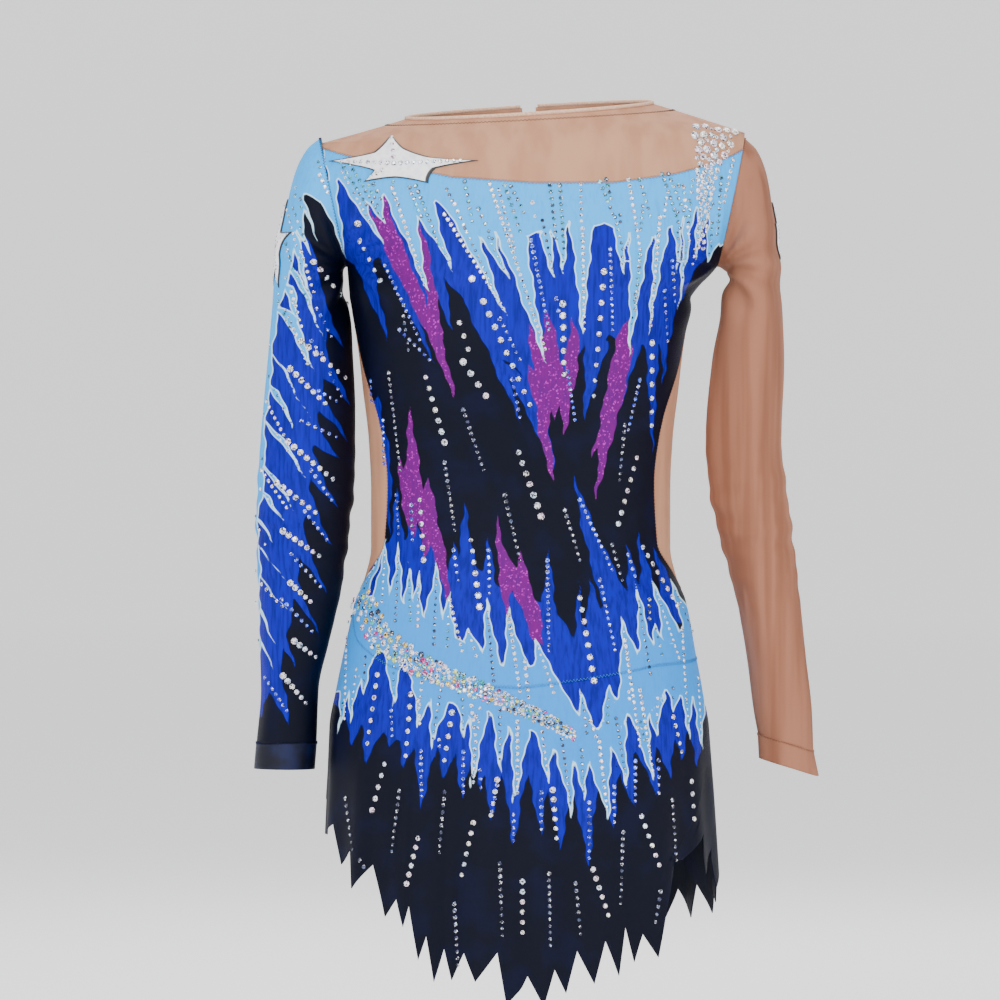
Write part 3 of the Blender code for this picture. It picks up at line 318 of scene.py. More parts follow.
# Royal blue below the chest, and loose shards of it
ROYAL_CHEST = (
    ((-157, -36), (-157, -108), (-135, -126), (-113, -121), (-97, -148), (-77, -180), (-68, -156),
     (-61, -138), (-47, -156), (-25, -196), (-1, -214), (19, -234), (36, -220), (50, -192), (63, -196),
     (70, -184), (87, -196), (95, -192), (111, -192), (129, -156), (143, -126), (162, -108), (191, -36)),
    ((-127, -224), (-119, -236), (-115, -231), (-112, -248), (-106, -276), (-104, -300), (-106, -344),
     (-110, -320), (-113, -298), (-119, -276), (-126, -256)),
    ((42, -294), (51, -320), (63, -348), (77, -376), (95, -406), (83, -428), (67, -406), (57, -372),
     (49, -340)),
)
# Its flames
ROYAL_CHEST_TEETH = (
    (-135, -126, -119, -122, -106, -190), (-114, -122, -86, -160, -68, -209),
    (-68, -153, -60, -143, -54, -182), (-42, -166, -10, -214, 0, -256), (-15, -210, 21, -233, 27, -292),
    (50, -192, 69, -194, 50, -255), (76, -192, 97, -192, 76, -252), (98, -180, 112, -180, 106, -278),
    (111, -180, 123, -170, 114, -224),
)
# Royal blue round the hips
ROYAL_HIP = (
    ((-157, -396), (-109, -352), (-97, -348), (-73, -350), (-57, -374), (-41, -366), (-25, -378),
     (-13, -388), (15, -398), (28, -406), (43, -428), (55, -414), (67, -398), (87, -404), (103, -396),
     (137, -428), (163, -428), (153, -476), (146, -501), (122, -504), (107, -510), (89, -514), (63, -540),
     (41, -544), (5, -529), (-29, -521), (-53, -513), (-84, -512), (-113, -502), (-142, -489),
     (-157, -476)),
)
# Its flames
ROYAL_HIP_TEETH = (
    (-106, -354, -93, -354, -100, -305), (-94, -356, -77, -358, -88, -311),
    (-78, -358, -65, -364, -74, -328), (-53, -377, -34, -377, -45, -318), (-59, -376, -46, -377, -54, -349),
    (-34, -388, -18, -390, -26, -346), (14, -414, 30, -414, 22, -354), (42, -430, 50, -420, 46, -378),
    (51, -422, 65, -406, 55, -378), (85, -406, 100, -401, 85, -350), (96, -398, 113, -398, 94, -342),
    (114, -406, 137, -414, 107, -353), (-143, -487, -127, -494, -135, -514),
    (-128, -494, -112, -503, -125, -529), (-111, -501, -97, -502, -105, -514),
    (-98, -502, -83, -510, -94, -531), (-86, -511, -67, -513, -80, -562), (-67, -513, -51, -513, -62, -540),
    (-54, -514, -38, -517, -47, -555), (-38, -517, -27, -521, -32, -548), (-30, -521, -14, -525, -25, -575),
    (-16, -526, 5, -530, -6, -594), (4, -530, 22, -537, 16, -584), (19, -537, 42, -545, 31, -594),
    (40, -544, 61, -543, 54, -609), (61, -542, 78, -533, 74, -578), (72, -522, 90, -514, 91, -562),
    (90, -514, 108, -510, 110, -555), (107, -510, 123, -505, 120, -540), (122, -505, 134, -494, 130, -526),
    (134, -502, 147, -500, 142, -531),
)
# Purple shards
PURPLE_BODY = (
    ((-123, -78), (-116, -90), (-110, -72), (-101, -96), (-93, -116), (-85, -136), (-73, -164),
     (-63, -188), (-57, -212), (-52, -236), (-58, -224), (-66, -204), (-77, -180), (-89, -156),
     (-101, -132), (-109, -116)),
    ((-82, -90), (-74, -116), (-70, -140), (-65, -166), (-62, -188), (-71, -170), (-77, -148), (-81, -120)),
    ((4, -206), (10, -216), (5, -174), (12, -188), (16, -198), (18, -180), (19, -161), (25, -176),
     (30, -196), (34, -220), (36, -196), (41, -170), (46, -188), (46, -208), (41, -228), (38, -248),
     (35, -266), (32, -252), (30, -240), (26, -252), (23, -240), (22, -260), (25, -280), (27, -302),
     (21, -288), (15, -268), (12, -244), (7, -224)),
    ((88, -169), (89, -196), (85, -220), (79, -244), (73, -268), (66, -292), (59, -318), (61, -292),
     (63, -272), (56, -283), (62, -260), (66, -236), (71, -212), (76, -188), (82, -176)),
    ((-90, -241), (-86, -260), (-82, -284), (-78, -308), (-74, -297), (-70, -316), (-65, -340),
     (-59, -364), (-57, -404), (-63, -384), (-68, -364), (-73, -352), (-77, -364), (-82, -332),
     (-87, -348), (-92, -332), (-96, -316), (-98, -300), (-98, -281), (-93, -292), (-91, -268)),
    ((-20, -326), (-16, -344), (-11, -360), (-4, -372), (0, -355), (4, -372), (9, -388), (15, -404),
     (18, -432), (10, -428), (1, -404), (-7, -388), (-10, -396), (-12, -412), (-16, -388), (-19, -360)),
)
# Light blue down the printed sleeve
SKY_SLEEVE = (
    ((-233, 12), (-149, 12), (-146, -28), (-148, -64), (-161, -76), (-174, -69), (-176, -94), (-182, -100),
     (-185, -132), (-191, -148), (-196, -164), (-201, -196), (-202, -224), (-207, -252), (-207, -288),
     (-209, -316), (-214, -332), (-212, -352), (-211, -376), (-212, -404), (-211, -436), (-215, -454),
     (-233, -454)),
)
# Its flames
SKY_SLEEVE_TEETH = (
    (-167, -64, -148, -62, -141, -120), (-180, -74, -174, -76, -163, -108),
    (-185, -88, -175, -94, -169, -121), (-190, -96, -178, -105, -169, -156),
    (-186, -130, -177, -136, -158, -188), (-191, -148, -182, -148, -177, -181),
    (-197, -162, -180, -170, -166, -214), (-202, -196, -188, -216, -170, -250),
    (-204, -224, -193, -232, -182, -262), (-208, -252, -190, -268, -172, -300),
    (-209, -288, -196, -300, -182, -327), (-210, -312, -201, -316, -190, -334),
    (-215, -332, -207, -338, -199, -352), (-214, -352, -206, -360, -190, -382),
    (-214, -376, -202, -388, -188, -406), (-214, -404, -207, -412, -198, -433),
    (-214, -430, -208, -436, -197, -456),
)
# Royal blue down the printed sleeve
ROYAL_SLEEVE = (
    ((-177, -94), (-167, -116), (-159, -148), (-157, -180), (-159, -212), (-162, -236), (-167, -268),
     (-169, -300), (-173, -324), (-177, -356), (-183, -396), (-189, -428), (-199, -460), (-207, -476),
     (-233, -479), (-233, -94)),
)
# Its flames
ROYAL_SLEEVE_TEETH = (
    (-164, -140, -156, -180, -143, -194), (-161, -186, -158, -218, -138, -239),
    (-164, -220, -162, -244, -140, -269), (-168, -248, -166, -272, -146, -284),
    (-170, -272, -167, -302, -148, -323), (-174, -300, -171, -330, -152, -355),
    (-178, -336, -175, -366, -157, -392), (-184, -372, -180, -398, -162, -428),
    (-193, -412, -190, -440, -182, -452), (-207, -468, -194, -447, -186, -499),
    (-218, -468, -204, -468, -210, -494),
)
# Strings of large stones: first and last centre (x, z), how many, first and last radius in tenths of a mm
STRINGS_BODY = (
    (33, -160, 34, -216, 7, 30, 20), (66, -134, 58, -233, 9, 28, 17), (105, -190, 105, -256, 7, 28, 20),
    (-30, -158, 7, -240, 9, 28, 20), (-39, -140, -30, -158, 2, 30, 28), (-46, -206, -28, -233, 4, 30, 26),
    (-49, -175, -42, -196, 3, 22, 20), (-76, -218, -61, -270, 7, 20, 28), (-2, -278, 16, -329, 7, 22, 30),
    (93, -282, 78, -335, 7, 20, 24), (98, -354, 126, -401, 8, 20, 26), (47, -394, 58, -460, 8, 22, 28),
    (-40, -348, -33, -401, 7, 18, 30), (-81, -316, -78, -364, 6, 18, 26),
    (-115, -456, -123, -511, 7, 24, 18), (-88, -471, -92, -520, 6, 24, 18),
    (-55, -485, -61, -523, 5, 26, 18), (-19, -538, -24, -566, 4, 24, 18), (25, -546, 28, -584, 6, 26, 18),
    (122, -490, 129, -518, 5, 22, 16), (-109, -527, -119, -564, 5, 20, 26),
    (-82, -585, -91, -621, 6, 20, 24), (-38, -572, -47, -613, 6, 22, 18), (1, -618, 1, -658, 6, 24, 18),
    (57, -609, 69, -645, 6, 24, 18), (96, -568, 110, -607, 6, 22, 20), (137, -542, 139, -572, 4, 22, 20),
    (-131, -94, -129, -108, 2, 30, 28), (-126, -114, -113, -140, 4, 20, 24),
)
# The same on the printed sleeve
STRINGS_SLEEVE = (
    (-167, -124, -141, -156, 6, 30, 18), (-177, -188, -142, -217, 7, 30, 18),
    (-186, -210, -158, -238, 7, 30, 20), (-188, -269, -152, -299, 8, 30, 20),
    (-197, -302, -166, -326, 7, 30, 20), (-192, -341, -163, -361, 7, 30, 18),
    (-186, -383, -170, -398, 5, 28, 18), (-183, -430, -166, -443, 5, 28, 18),
    (-192, -458, -174, -480, 6, 28, 18),
)
# Rows of small stones: first and last centre (x, z), and the colour as its place in ROW_COLOURS
ROWS_BODY = (
    (-145, -44, -119, -88, 1), (-140, -42, -114, -86, 1), (-122, -64, -113, -86, 1),
    (-118, -63, -107, -86, 1), (-89, -66, -67, -122, 1), (-84, -65, -62, -121, 1),
    (-103, -66, -77, -144, 0), (-45, -62, -39, -94, 1), (-34, -84, -23, -108, 1), (-13, -65, -1, -102, 1),
    (-8, -66, 2, -87, 1), (23, -65, 28, -108, 1), (31, -65, 34, -116, 1), (22, -65, 23, -80, 1),
    (63, -62, 73, -88, 1), (68, -60, 81, -116, 1), (95, -60, 103, -89, 1), (113, -55, 129, -103, 1),
    (118, -55, 134, -94, 1), (122, -58, 135, -76, 1), (155, -54, 153, -108, 1), (161, -57, 158, -102, 1),
    (-61, -88, -14, -164, 0), (-25, -64, 19, -196, 0), (9, -79, 11, -90, 0), (86, -60, 95, -116, 0),
    (111, -90, 104, -176, 0), (130, -65, 135, -108, 0), (171, -42, 161, -86, 0), (49, -100, 50, -180, 0),
    (-19, -108, -10, -136, 1), (95, -120, 89, -188, 1), (-53, -80, -41, -108, 0), (143, -88, 138, -126, 0),
    (-57, -396, -47, -436, 0), (-97, -364, -95, -416, 3), (-89, -376, -86, -428, 3),
    (-106, -364, -109, -424, 3), (-119, -396, -122, -428, 0), (-27, -404, -23, -436, 3),
    (-10, -408, -1, -468, 0), (3, -444, 7, -484, 0), (-41, -468, -36, -508, 0), (-17, -468, -14, -520, 3),
    (-3, -492, -3, -548, 0), (19, -476, 25, -512, 3), (33, -484, 38, -548, 3), (62, -508, 68, -560, 0),
    (70, -476, 74, -508, 3), (83, -428, 95, -512, 0), (95, -468, 105, -532, 0), (103, -396, 103, -476, 3),
    (118, -428, 119, -468, 3), (130, -420, 133, -476, 0), (135, -404, 143, -476, 3),
    (19, -444, 23, -468, 3), (-71, -428, -68, -476, 3), (-82, -476, -81, -494, 0),
    (-65, -480, -70, -510, 3), (-141, -428, -142, -492, 0), (-135, -428, -135, -488, 3),
    (-102, -448, -102, -476, 3), (-129, -428, -128, -468, 3), (-36, -488, -38, -540, 0),
    (47, -476, 50, -512, 3), (55, -492, 62, -510, 0), (6, -100, 22, -180, 2), (28, -156, 43, -252, 2),
    (71, -116, 73, -180, 2), (95, -220, 86, -260, 2), (115, -148, 118, -188, 2), (121, -124, 124, -156, 2),
    (-17, -172, -1, -204, 2), (-7, -220, -1, -250, 2), (-111, -252, -110, -316, 2),
    (-100, -312, -98, -348, 2), (-88, -320, -87, -348, 2), (47, -316, 73, -372, 2), (21, -364, 22, -436, 2),
    (86, -360, 95, -388, 2), (63, -380, 75, -436, 2), (-54, -356, -50, -380, 2), (-26, -356, -25, -396, 2),
    (-105, -450, -103, -504, 2), (-80, -516, -79, -552, 2), (-46, -516, -46, -548, 2),
    (-6, -540, -6, -586, 2), (16, -548, 16, -577, 2), (54, -556, 54, -600, 2), (74, -544, 74, -572, 2),
    (91, -524, 91, -556, 2), (110, -524, 110, -550, 2), (-17, -532, -24, -568, 2),
    (-33, -524, -32, -544, 2), (-68, -476, -65, -512, 2), (-121, -220, -119, -268, 2),
    (-97, -180, -73, -204, 2), (-109, -128, -81, -188, 2), (-106, -214, -97, -292, 3),
    (-46, -244, -30, -292, 3), (-61, -286, -53, -340, 3), (-13, -312, -1, -364, 3), (35, -324, 47, -364, 3),
    (83, -256, 79, -300, 3), (73, -352, 81, -380, 3), (-97, -148, -90, -196, 3),
    (-141, -556, -135, -596, 3), (-97, -548, -103, -596, 3), (-61, -548, -65, -596, 3),
    (43, -620, 47, -660, 3), (81, -580, 79, -636, 3), (121, -556, 124, -604, 3), (-17, -604, -15, -660, 3),
    (22, -612, 23, -668, 3), (-129, -604, -119, -620, 3), (-53, -636, -50, -684, 3),
    (111, -628, 107, -652, 3),
)
# The same on the printed sleeve
ROWS_SLEEVE = (
    (-177, -80, -145, -104, 1), (-182, -70, -153, -94, 1), (-162, -54, -143, -97, 0),
    (-177, -116, -167, -148, 0), (-191, -104, -177, -156, 1), (-185, -148, -177, -176, 0),
    (-196, -156, -177, -196, 1), (-189, -164, -172, -206, 0), (-199, -196, -177, -240, 1),
    (-202, -212, -185, -246, 1), (-206, -236, -189, -268, 0), (-207, -256, -177, -294, 1),
    (-207, -268, -185, -290, 1), (-210, -292, -189, -322, 0), (-210, -316, -194, -330, 1),
    (-212, -356, -196, -378, 1), (-210, -384, -193, -402, 0), (-212, -364, -201, -388, 1),
    (-212, -408, -201, -428, 1), (-211, -432, -201, -450, 1), (-212, -340, -207, -352, 0),
    (-167, -156, -153, -184, 2), (-169, -188, -149, -212, 2), (-177, -220, -149, -236, 2),
    (-177, -252, -149, -265, 2), (-169, -292, -153, -316, 2), (-181, -316, -157, -348, 2),
    (-185, -360, -162, -386, 2), (-193, -396, -169, -422, 2), (-207, -460, -189, -486, 2),
    (-157, -208, -145, -232, 2),
)
# What each row of small stones is made of, by its place in a row's last number
ROW_COLOURS = ("clear", "teal", "sapphire", "jet")
FLOOR_Z = -0.80
STAGE_RADIUS = 18.0
STAGE_BEND = 6.0
FLAME_ROW_COLOURS = {"body": ("teal", "clear", "jet"), "sleeve": ("teal", "clear")}
STONE_REACH = 0.0022     # a stone this far from the cloth's edge is dropped
ROW_PITCH = 0.0045
ROW_RADII = (0.0019, 0.0014)
FLAME_ROW_RADII = (0.0015, 0.0010)
BELT_RADII = (0.0016, 0.0028)
STRAP_RADII = (0.0021, 0.0036)

SURFACES = {}
MATERIALS = {}


def srgb(red, green, blue):
    """A display colour, 0 to 255, as linear light."""
    share = np.array([red, green, blue]) / 255
    return tuple(float(v) for v in np.where(share <= 0.04045, share / 12.92, ((share + 0.055) / 1.055) ** 2.4))


class LeotardSizes(bpy.types.PropertyGroup):
    """Sizes that a user may change."""

    cloth: bpy.props.FloatProperty(
        name="Cloth thickness", description="Thickness of every cloth piece",
        default=0.0008, unit="LENGTH",
    )
    step: bpy.props.FloatProperty(
        name="Cloth step", description="Spacing of the cloth's grid",
        default=0.0020, unit="LENGTH",
    )
    fold: bpy.props.FloatProperty(
        name="Fold depth", description="Depth of the creases at the armpits",
        default=0.0030, unit="LENGTH",
    )
    thread: bpy.props.FloatProperty(
        name="Thread", description="Radius of the sewing thread",
        default=0.00022, unit="LENGTH",
    )


class LeotardColours(bpy.types.PropertyGroup):
    """Colours that a user may change."""

    navy: bpy.props.FloatVectorProperty(
        name="Navy", description="Ground colour",
        default=srgb(0, 3, 22), subtype="COLOR",
    )
    royal: bpy.props.FloatVectorProperty(
        name="Royal", description="Middle flames",
        default=srgb(0, 0, 166), subtype="COLOR",
    )
    sky: bpy.props.FloatVectorProperty(
        name="Sky", description="Light blue at the chest",
        default=srgb(40, 172, 252), subtype="COLOR",
    )
    sky_low: bpy.props.FloatVectorProperty(
        name="Low sky", description="Light blue at the hips",
        default=srgb(18, 146, 236), subtype="COLOR",
    )
    purple: bpy.props.FloatVectorProperty(
        name="Purple", description="Glitter shards",
        default=srgb(104, 0, 112), subtype="COLOR",
    )
    yoke: bpy.props.FloatVectorProperty(
        name="Yoke mesh", description="Skin-tone mesh over the body",
        default=srgb(192, 142, 112), subtype="COLOR",
    )
    arm: bpy.props.FloatVectorProperty(
        name="Arm mesh", description="Skin-tone mesh of the plain sleeve",
        default=srgb(158, 106, 82), subtype="COLOR",
    )
    white: bpy.props.FloatVectorProperty(
        name="White", description="Starfish satin",
        default=srgb(252, 252, 255), subtype="COLOR",
    )


# ---------------------------------------------------------------- shapes


def stations(table, z, column):
    """One column of a table of heights, read at the heights z, with a smooth rise and fall between its rows."""
    rows = np.array(table)[::-1]
    height = rows[:, 0]
    value = rows[:, column]
    step = np.diff(value) / np.diff(height)
    both = step[1:] + step[:-1]
    inner = np.where(step[1:] * step[:-1] > 0, 2 * step[1:] * step[:-1] / np.where(both == 0, 1, both), 0)
    slope = np.concatenate([step[:1], inner, step[-1:]])
    z = np.clip(z, height[0], height[-1])
    k = np.clip(np.searchsorted(height, z) - 1, 0, len(height) - 2)
    width = height[k + 1] - height[k]
    u = (z - height[k]) / width
    near = (2 * u**3 - 3 * u**2 + 1) * value[k] + (u**3 - 2 * u**2 + u) * width * slope[k]
    far = (3 * u**2 - 2 * u**3) * value[k + 1] + (u**3 - u**2) * width * slope[k + 1]
    return near + far


def side_x(side, z):
    """Where the garment's edge stands at height z: shoulder line, armhole line, then the side of the body."""
    sign = SIDE_SIGN[side]
    under_z = BODY[UNDERARM_ROW][0]
    under_x = sign * BODY[UNDERARM_ROW][1]
    neck = NECK_SHIFT + sign * BODY[0][1]
    heights = [under_z, ARM_BOTTOM_Z, ARM_TOP_Z, 0.0]
    above = np.interp(z, heights, [under_x, ARMPIT_X[side], SHOULDER_X[side], neck])
    return np.where(z < under_z, sign * stations(BODY, z, 1), above)


def armhole_depth(z):
    """Half the armhole's depth in Y at height z: an ellipse, and nothing outside the armhole."""
    middle = (ARM_TOP_Z + ARM_BOTTOM_Z) / 2
    half = (ARM_TOP_Z - ARM_BOTTOM_Z) / 2
    return ARM_HALF_DEPTH * np.sqrt(np.clip(1 - ((z - middle) / half) ** 2, 0, 1))


def girth(z, depth_column):
    """The middle, the reach and the half angle of the body's outline at height z, front or back."""
    left = side_x("left", z)
    right = side_x("right", z)
    edge = np.clip(armhole_depth(z) / stations(BODY, z, depth_column), 0, 0.95)
    return (left + right) / 2, (left - right) / 2 / np.sqrt(1 - edge**2), np.arccos(edge)


def torso(z, t):
    """Points on the garment's body. t runs round it: 0 front middle, 1 left, -1 right, 2 or -2 back middle.

    x is the middle plus reach times the sine of the turn, and y is the depth times its cosine, on an
    ellipse whose half width and depth change with height; the neck edge is tilted up and back.
    """
    z, t = np.broadcast_arrays(np.asarray(z, float), np.asarray(t, float))
    back = np.abs(t) > 1
    turn = np.where(back, np.sign(t) * (2 - np.abs(t)), t)
    front_shape = girth(z, 2)
    back_shape = girth(z, 3)
    middle, reach, half = (np.where(back, b, f) for f, b in zip(front_shape, back_shape))
    depth = np.where(back, stations(BODY, z, 3), stations(BODY, z, 2))
    x = middle + reach * np.sin(turn * half)
    y = np.where(back, 1.0, -1.0) * depth * np.cos(turn * half)
    fade = np.clip(1 + z / NECK_FADE, 0, 1) ** 2
    return np.stack([x, y, z + fade * (NECK_ROLL * (x - NECK_SHIFT) + NECK_PITCH * y)], -1)


def turn_at(side, z, x):
    """The turn at which the back of the body stands at x, counted round from that side."""
    middle, reach, half = girth(z, 3)
    off_middle = np.arcsin((x - middle) / reach) / half
    return 2 - off_middle if side == "left" else -2 - off_middle


def seam(table, t):
    """Height of a seam across the front, by turn."""
    rows = np.array(table)
    return np.interp(t, rows[:, 0], rows[:, 1])


def unit(vectors):
    return vectors / np.maximum(np.linalg.norm(vectors, axis=-1, keepdims=True), 1e-12)


def outward(points, closed=False):
    """Directions out of a grid whose rows run down and whose columns run to the wearer's left."""
    down = np.gradient(points, axis=0)
    if closed:
        across = np.roll(points, -1, 1) - np.roll(points, 1, 1)
    else:
        across = np.gradient(points, axis=1)
    return unit(np.cross(down, across))


def shares(columns, rows):
    """Shares from 0 to 1 across and down, as two arrays of rows by columns."""
    return np.meshgrid(np.linspace(0, 1, columns + 1), np.linspace(0, 1, rows + 1))


def mix(low, high, share):
    return low + (high - low) * share


def smooth(low, high, value):
    u = np.clip((value - low) / (high - low), 0, 1)
    return u * u * (3 - 2 * u)


def armhole_plane(side):
    """The middle of the armhole and the direction out of it, along the sleeve."""
    top = np.array([SHOULDER_X[side], 0.0, ARM_TOP_Z])
    foot = np.array([ARMPIT_X[side], 0.0, ARM_BOTTOM_Z])
    along = unit(foot - top)
    out = np.array([-along[2], 0.0, along[0]]) * SIDE_SIGN[side]
    return (top + foot) / 2, out if out[0] * SIDE_SIGN[side] > 0 else -out


def creased(points, outs, depth):
    """Fans of creases from each armpit: a ripple by angle and distance that dies at the armhole."""
    for side in SIDE_SIGN:
        middle, out = armhole_plane(side)
        off_seam = np.abs((points - middle) @ out)
        dx = points[..., 0] - ARMPIT_X[side]
        dz = points[..., 2] - ARM_BOTTOM_Z
        away = np.hypot(dx, dz)
        fan = np.sin(9 * np.arctan2(dz, dx) + 30 * away) * np.exp(-((away - 0.032) / 0.020) ** 2)
        points = points + outs * (depth * fan * smooth(0.001, 0.010, off_seam))[..., None]
    return points


def ring_points(values, angle):
    """One ring: centre, plus half its outer-to-inner line times cosine, plus its half depth times sine."""
    outer_x, outer_z, inner_x, inner_z, depth = (values[..., k, None] for k in range(5))
    cosine = np.cos(angle)
    x = (outer_x + inner_x) / 2 + (outer_x - inner_x) / 2 * cosine
    z = (outer_z + inner_z) / 2 + (outer_z - inner_z) / 2 * cosine
    return np.stack([x, depth * np.sin(angle), z], -1)


def sleeve_points(side, step):
    """A sleeve as rings on a smooth curve between its stations, crowded at the armhole."""
    head = (SHOULDER_X[side], ARM_TOP_Z, ARMPIT_X[side], ARM_BOTTOM_Z, ARM_HALF_DEPTH)
    rings = np.array([head, *SLEEVE_RINGS[side]])
    gaps = np.hypot(*np.diff(rings[:, :2] + rings[:, 2:4], axis=0).T) / 2
    along = np.concatenate([[0.0], np.cumsum(gaps)])
    crowd = np.linspace(0, JOIN_WIDTH * 1.5, JOIN_ROWS, endpoint=False)
    rest = np.linspace(JOIN_WIDTH * 1.5, along[-1], int(along[-1] / step))
    at = np.concatenate([crowd, rest])
    table = np.column_stack([-along, rings])
    values = np.stack([stations(table, -at, column) for column in range(1, 6)], -1)
    angle = np.arange(SLEEVE_SIDES) * 2 * math.pi / SLEEVE_SIDES
    points = ring_points(values, angle)
    return points if SIDE_SIGN[side] > 0 else points[:, ::-1], at


def skirt_points(z, turn, wrapped, seam_z):
    """The skirt: the body's outline down to the hip, growing wider and deeper with its drop from its seam."""
    drop = np.clip(seam_z - z, 0, None)
    base = torso(np.maximum(z, HIP_Z), wrapped)
    back = np.abs(wrapped) > 1
    grow = np.where(back, FLARE_BACK, FLARE_FRONT) * drop / np.where(back, BODY[HIP_ROW][3], BODY[HIP_ROW][2])
    flute = FLUTE_DEPTH * smooth(0.02, 0.22, drop) * np.sin(FLUTES * math.pi * turn)
    x = base[..., 0] * (1 + FLARE_SIDE * drop / BODY[HIP_ROW][1])
    y = base[..., 1] * (1 + grow)
    points = np.stack([x, y, z], -1)
    return points + flute[..., None] * unit(np.stack([x, y, 0 * x], -1))


def skirt_edge(z):
    """The turn of the front skirt's left side edge at height z."""
    rows = np.array(SKIRT_EDGE)[::-1]
    return np.interp(z, rows[:, 0], rows[:, 1])


def leg_turn(table, z, share):
    """The turn of a brief's column at height z, where the leg line narrows the cloth."""
    rows = np.array(table)[::-1]
    half = stations(BODY, z, 1)
    left = np.where(z > table[0][0], half, np.interp(z, rows[:, 0], rows[:, 1]))
    return share * np.arcsin(np.clip(left / half, 0, 1)) * 2 / math.pi


# ---------------------------------------------------------------- print


def flame(tooth):
    """The outline of one flame: from its left foot to its tip and back, its sides bowed in."""
    left, right, tip = np.array(tooth, float).reshape(3, 2)
    s = np.linspace(0, 1, 6)[:, None]
    middle = (left + right) / 2
    root = FLAME_ROOT * unit(middle - tip)
    bow = FLAME_BOW * 4 * s * (1 - s)
    up_left = mix(left, tip, s)
    up_right = mix(right, tip, s)
    axis = mix(middle, tip, s)
    up_left = mix(up_left, axis, bow)
    up_right = mix(up_right, axis, bow)
    return np.concatenate([up_left, up_right[-2::-1], [right + root, left + root]])


def depth_inside(outlines, flat):
    """How far each (x, z) point lies inside the nearest outline, in metres, and negative outside all of them.

    For each outline: the least distance to its edges, signed by how often a line from the point crosses it.
    """
    reach = 6 * MM
    best = np.full(flat.shape[:-1], -reach)
    for outline in outlines:
        corners = np.array(outline, float) * MM
        near = ((flat > corners.min(0) - reach) & (flat < corners.max(0) + reach)).all(-1)
        if not near.any():
            continue
        p = flat[near]
        gap = np.full(len(p), np.inf)
        odd = np.zeros(len(p), bool)
        for a, b in zip(corners, np.roll(corners, -1, 0)):
            edge = b - a
            share = np.clip(((p - a) @ edge) / max(edge @ edge, 1e-12), 0, 1)
            gap = np.minimum(gap, np.hypot(*(p - a - share[:, None] * edge).T))
            crosses = (a[1] > p[:, 1]) != (b[1] > p[:, 1])
            level = a[0] + edge[0] * (p[:, 1] - a[1]) / (edge[1] if edge[1] else 1e-12)
            odd ^= crosses & (p[:, 0] < level)
        best[near] = np.maximum(best[near], np.where(odd, gap, -gap))
    return best


PRINTS = {
    "body": {
        "sky": [*SKY_CHEST, *SKY_HIP, *map(flame, SKY_CHEST_TEETH), *map(flame, SKY_HIP_TEETH)],
        "royal": [*ROYAL_CHEST, *ROYAL_HIP, *map(flame, ROYAL_CHEST_TEETH), *map(flame, ROYAL_HIP_TEETH)],
        "purple": [*PURPLE_BODY],
    },
    "sleeve": {
        "sky": [*SKY_SLEEVE, *map(flame, SKY_SLEEVE_TEETH)],
        "royal": [*ROYAL_SLEEVE, *map(flame, ROYAL_SLEEVE_TEETH)],
        "purple": [],
    },
}


def printed(points, layout):
    """The print's attributes at the points: how deep each lies inside each colour, with a hand-drawn wander."""
    x = points[..., 0].ravel()
    z = points[..., 2].ravel()
    wander_x = HAND_WANDER * (np.sin(190 * z + 60 * x) + 0.6 * np.sin(430 * z + 1.3))
    wander_z = HAND_WANDER * np.sin(310 * x + 0.7)
    flat = np.stack([x + wander_x, z + wander_z], -1)
    return {name: depth_inside(outlines, flat) for name, outlines in PRINTS[layout].items()}


# ---------------------------------------------------------------- meshes


def filed(name, mesh, material, smooth_shade=True):
    obj = bpy.data.objects.new(name, mesh)
    bpy.context.scene.collection.objects.link(obj)
    mesh.materials.append(material)
    if smooth_shade:
        mesh.shade_smooth()
    return obj


def arc(points, axis, closed=False):
    """Length along an axis of a grid, as the longest of its lines."""
    steps = np.linalg.norm(np.diff(points, axis=axis), axis=-1).sum(axis=axis)
    if closed:
        steps = steps + np.linalg.norm(points[:, 0] - points[:, -1], axis=-1)
    return float(steps.max())


def cloth_sheet(name, points, material, thickness, closed=False, attributes=None):
    """A cloth piece: quads over a grid of points, a map in metres, its attributes and its thickness."""
    rows, columns = points.shape[:2]
    index = np.arange(rows * columns).reshape(rows, columns)
    right = np.roll(index, -1, 1) if closed else index[:, 1:]
    left = index if closed else index[:, :-1]
    quads = np.stack([left[:-1], left[1:], right[1:], right[:-1]], -1).reshape(-1, 4)
    mesh = bpy.data.meshes.new(name)
    mesh.from_pydata(points.reshape(-1, 3).tolist(), [], quads.tolist())
    width = arc(points, 1, closed)
    length = arc(points, 0)
    last = left.shape[1]
    c, r = np.meshgrid(np.arange(last), np.arange(rows - 1))
    u = np.stack([c, c, c + 1, c + 1], -1) * width / last
    v = np.stack([r, r + 1, r + 1, r], -1) * length / (rows - 1)
    layer = mesh.uv_layers.new(name="cloth")
    layer.data.foreach_set("uv", np.stack([u, v], -1).astype(np.float32).ravel())
    for key, values in (attributes or {}).items():
        made = mesh.attributes.new(key, "FLOAT", "POINT")
        made.data.foreach_set("value", np.asarray(values, np.float32).ravel())
    obj = filed(name, mesh, material)
    wall = obj.modifiers.new("thickness", "SOLIDIFY")
    wall.thickness = thickness
    wall.offset = -1.0
    return obj


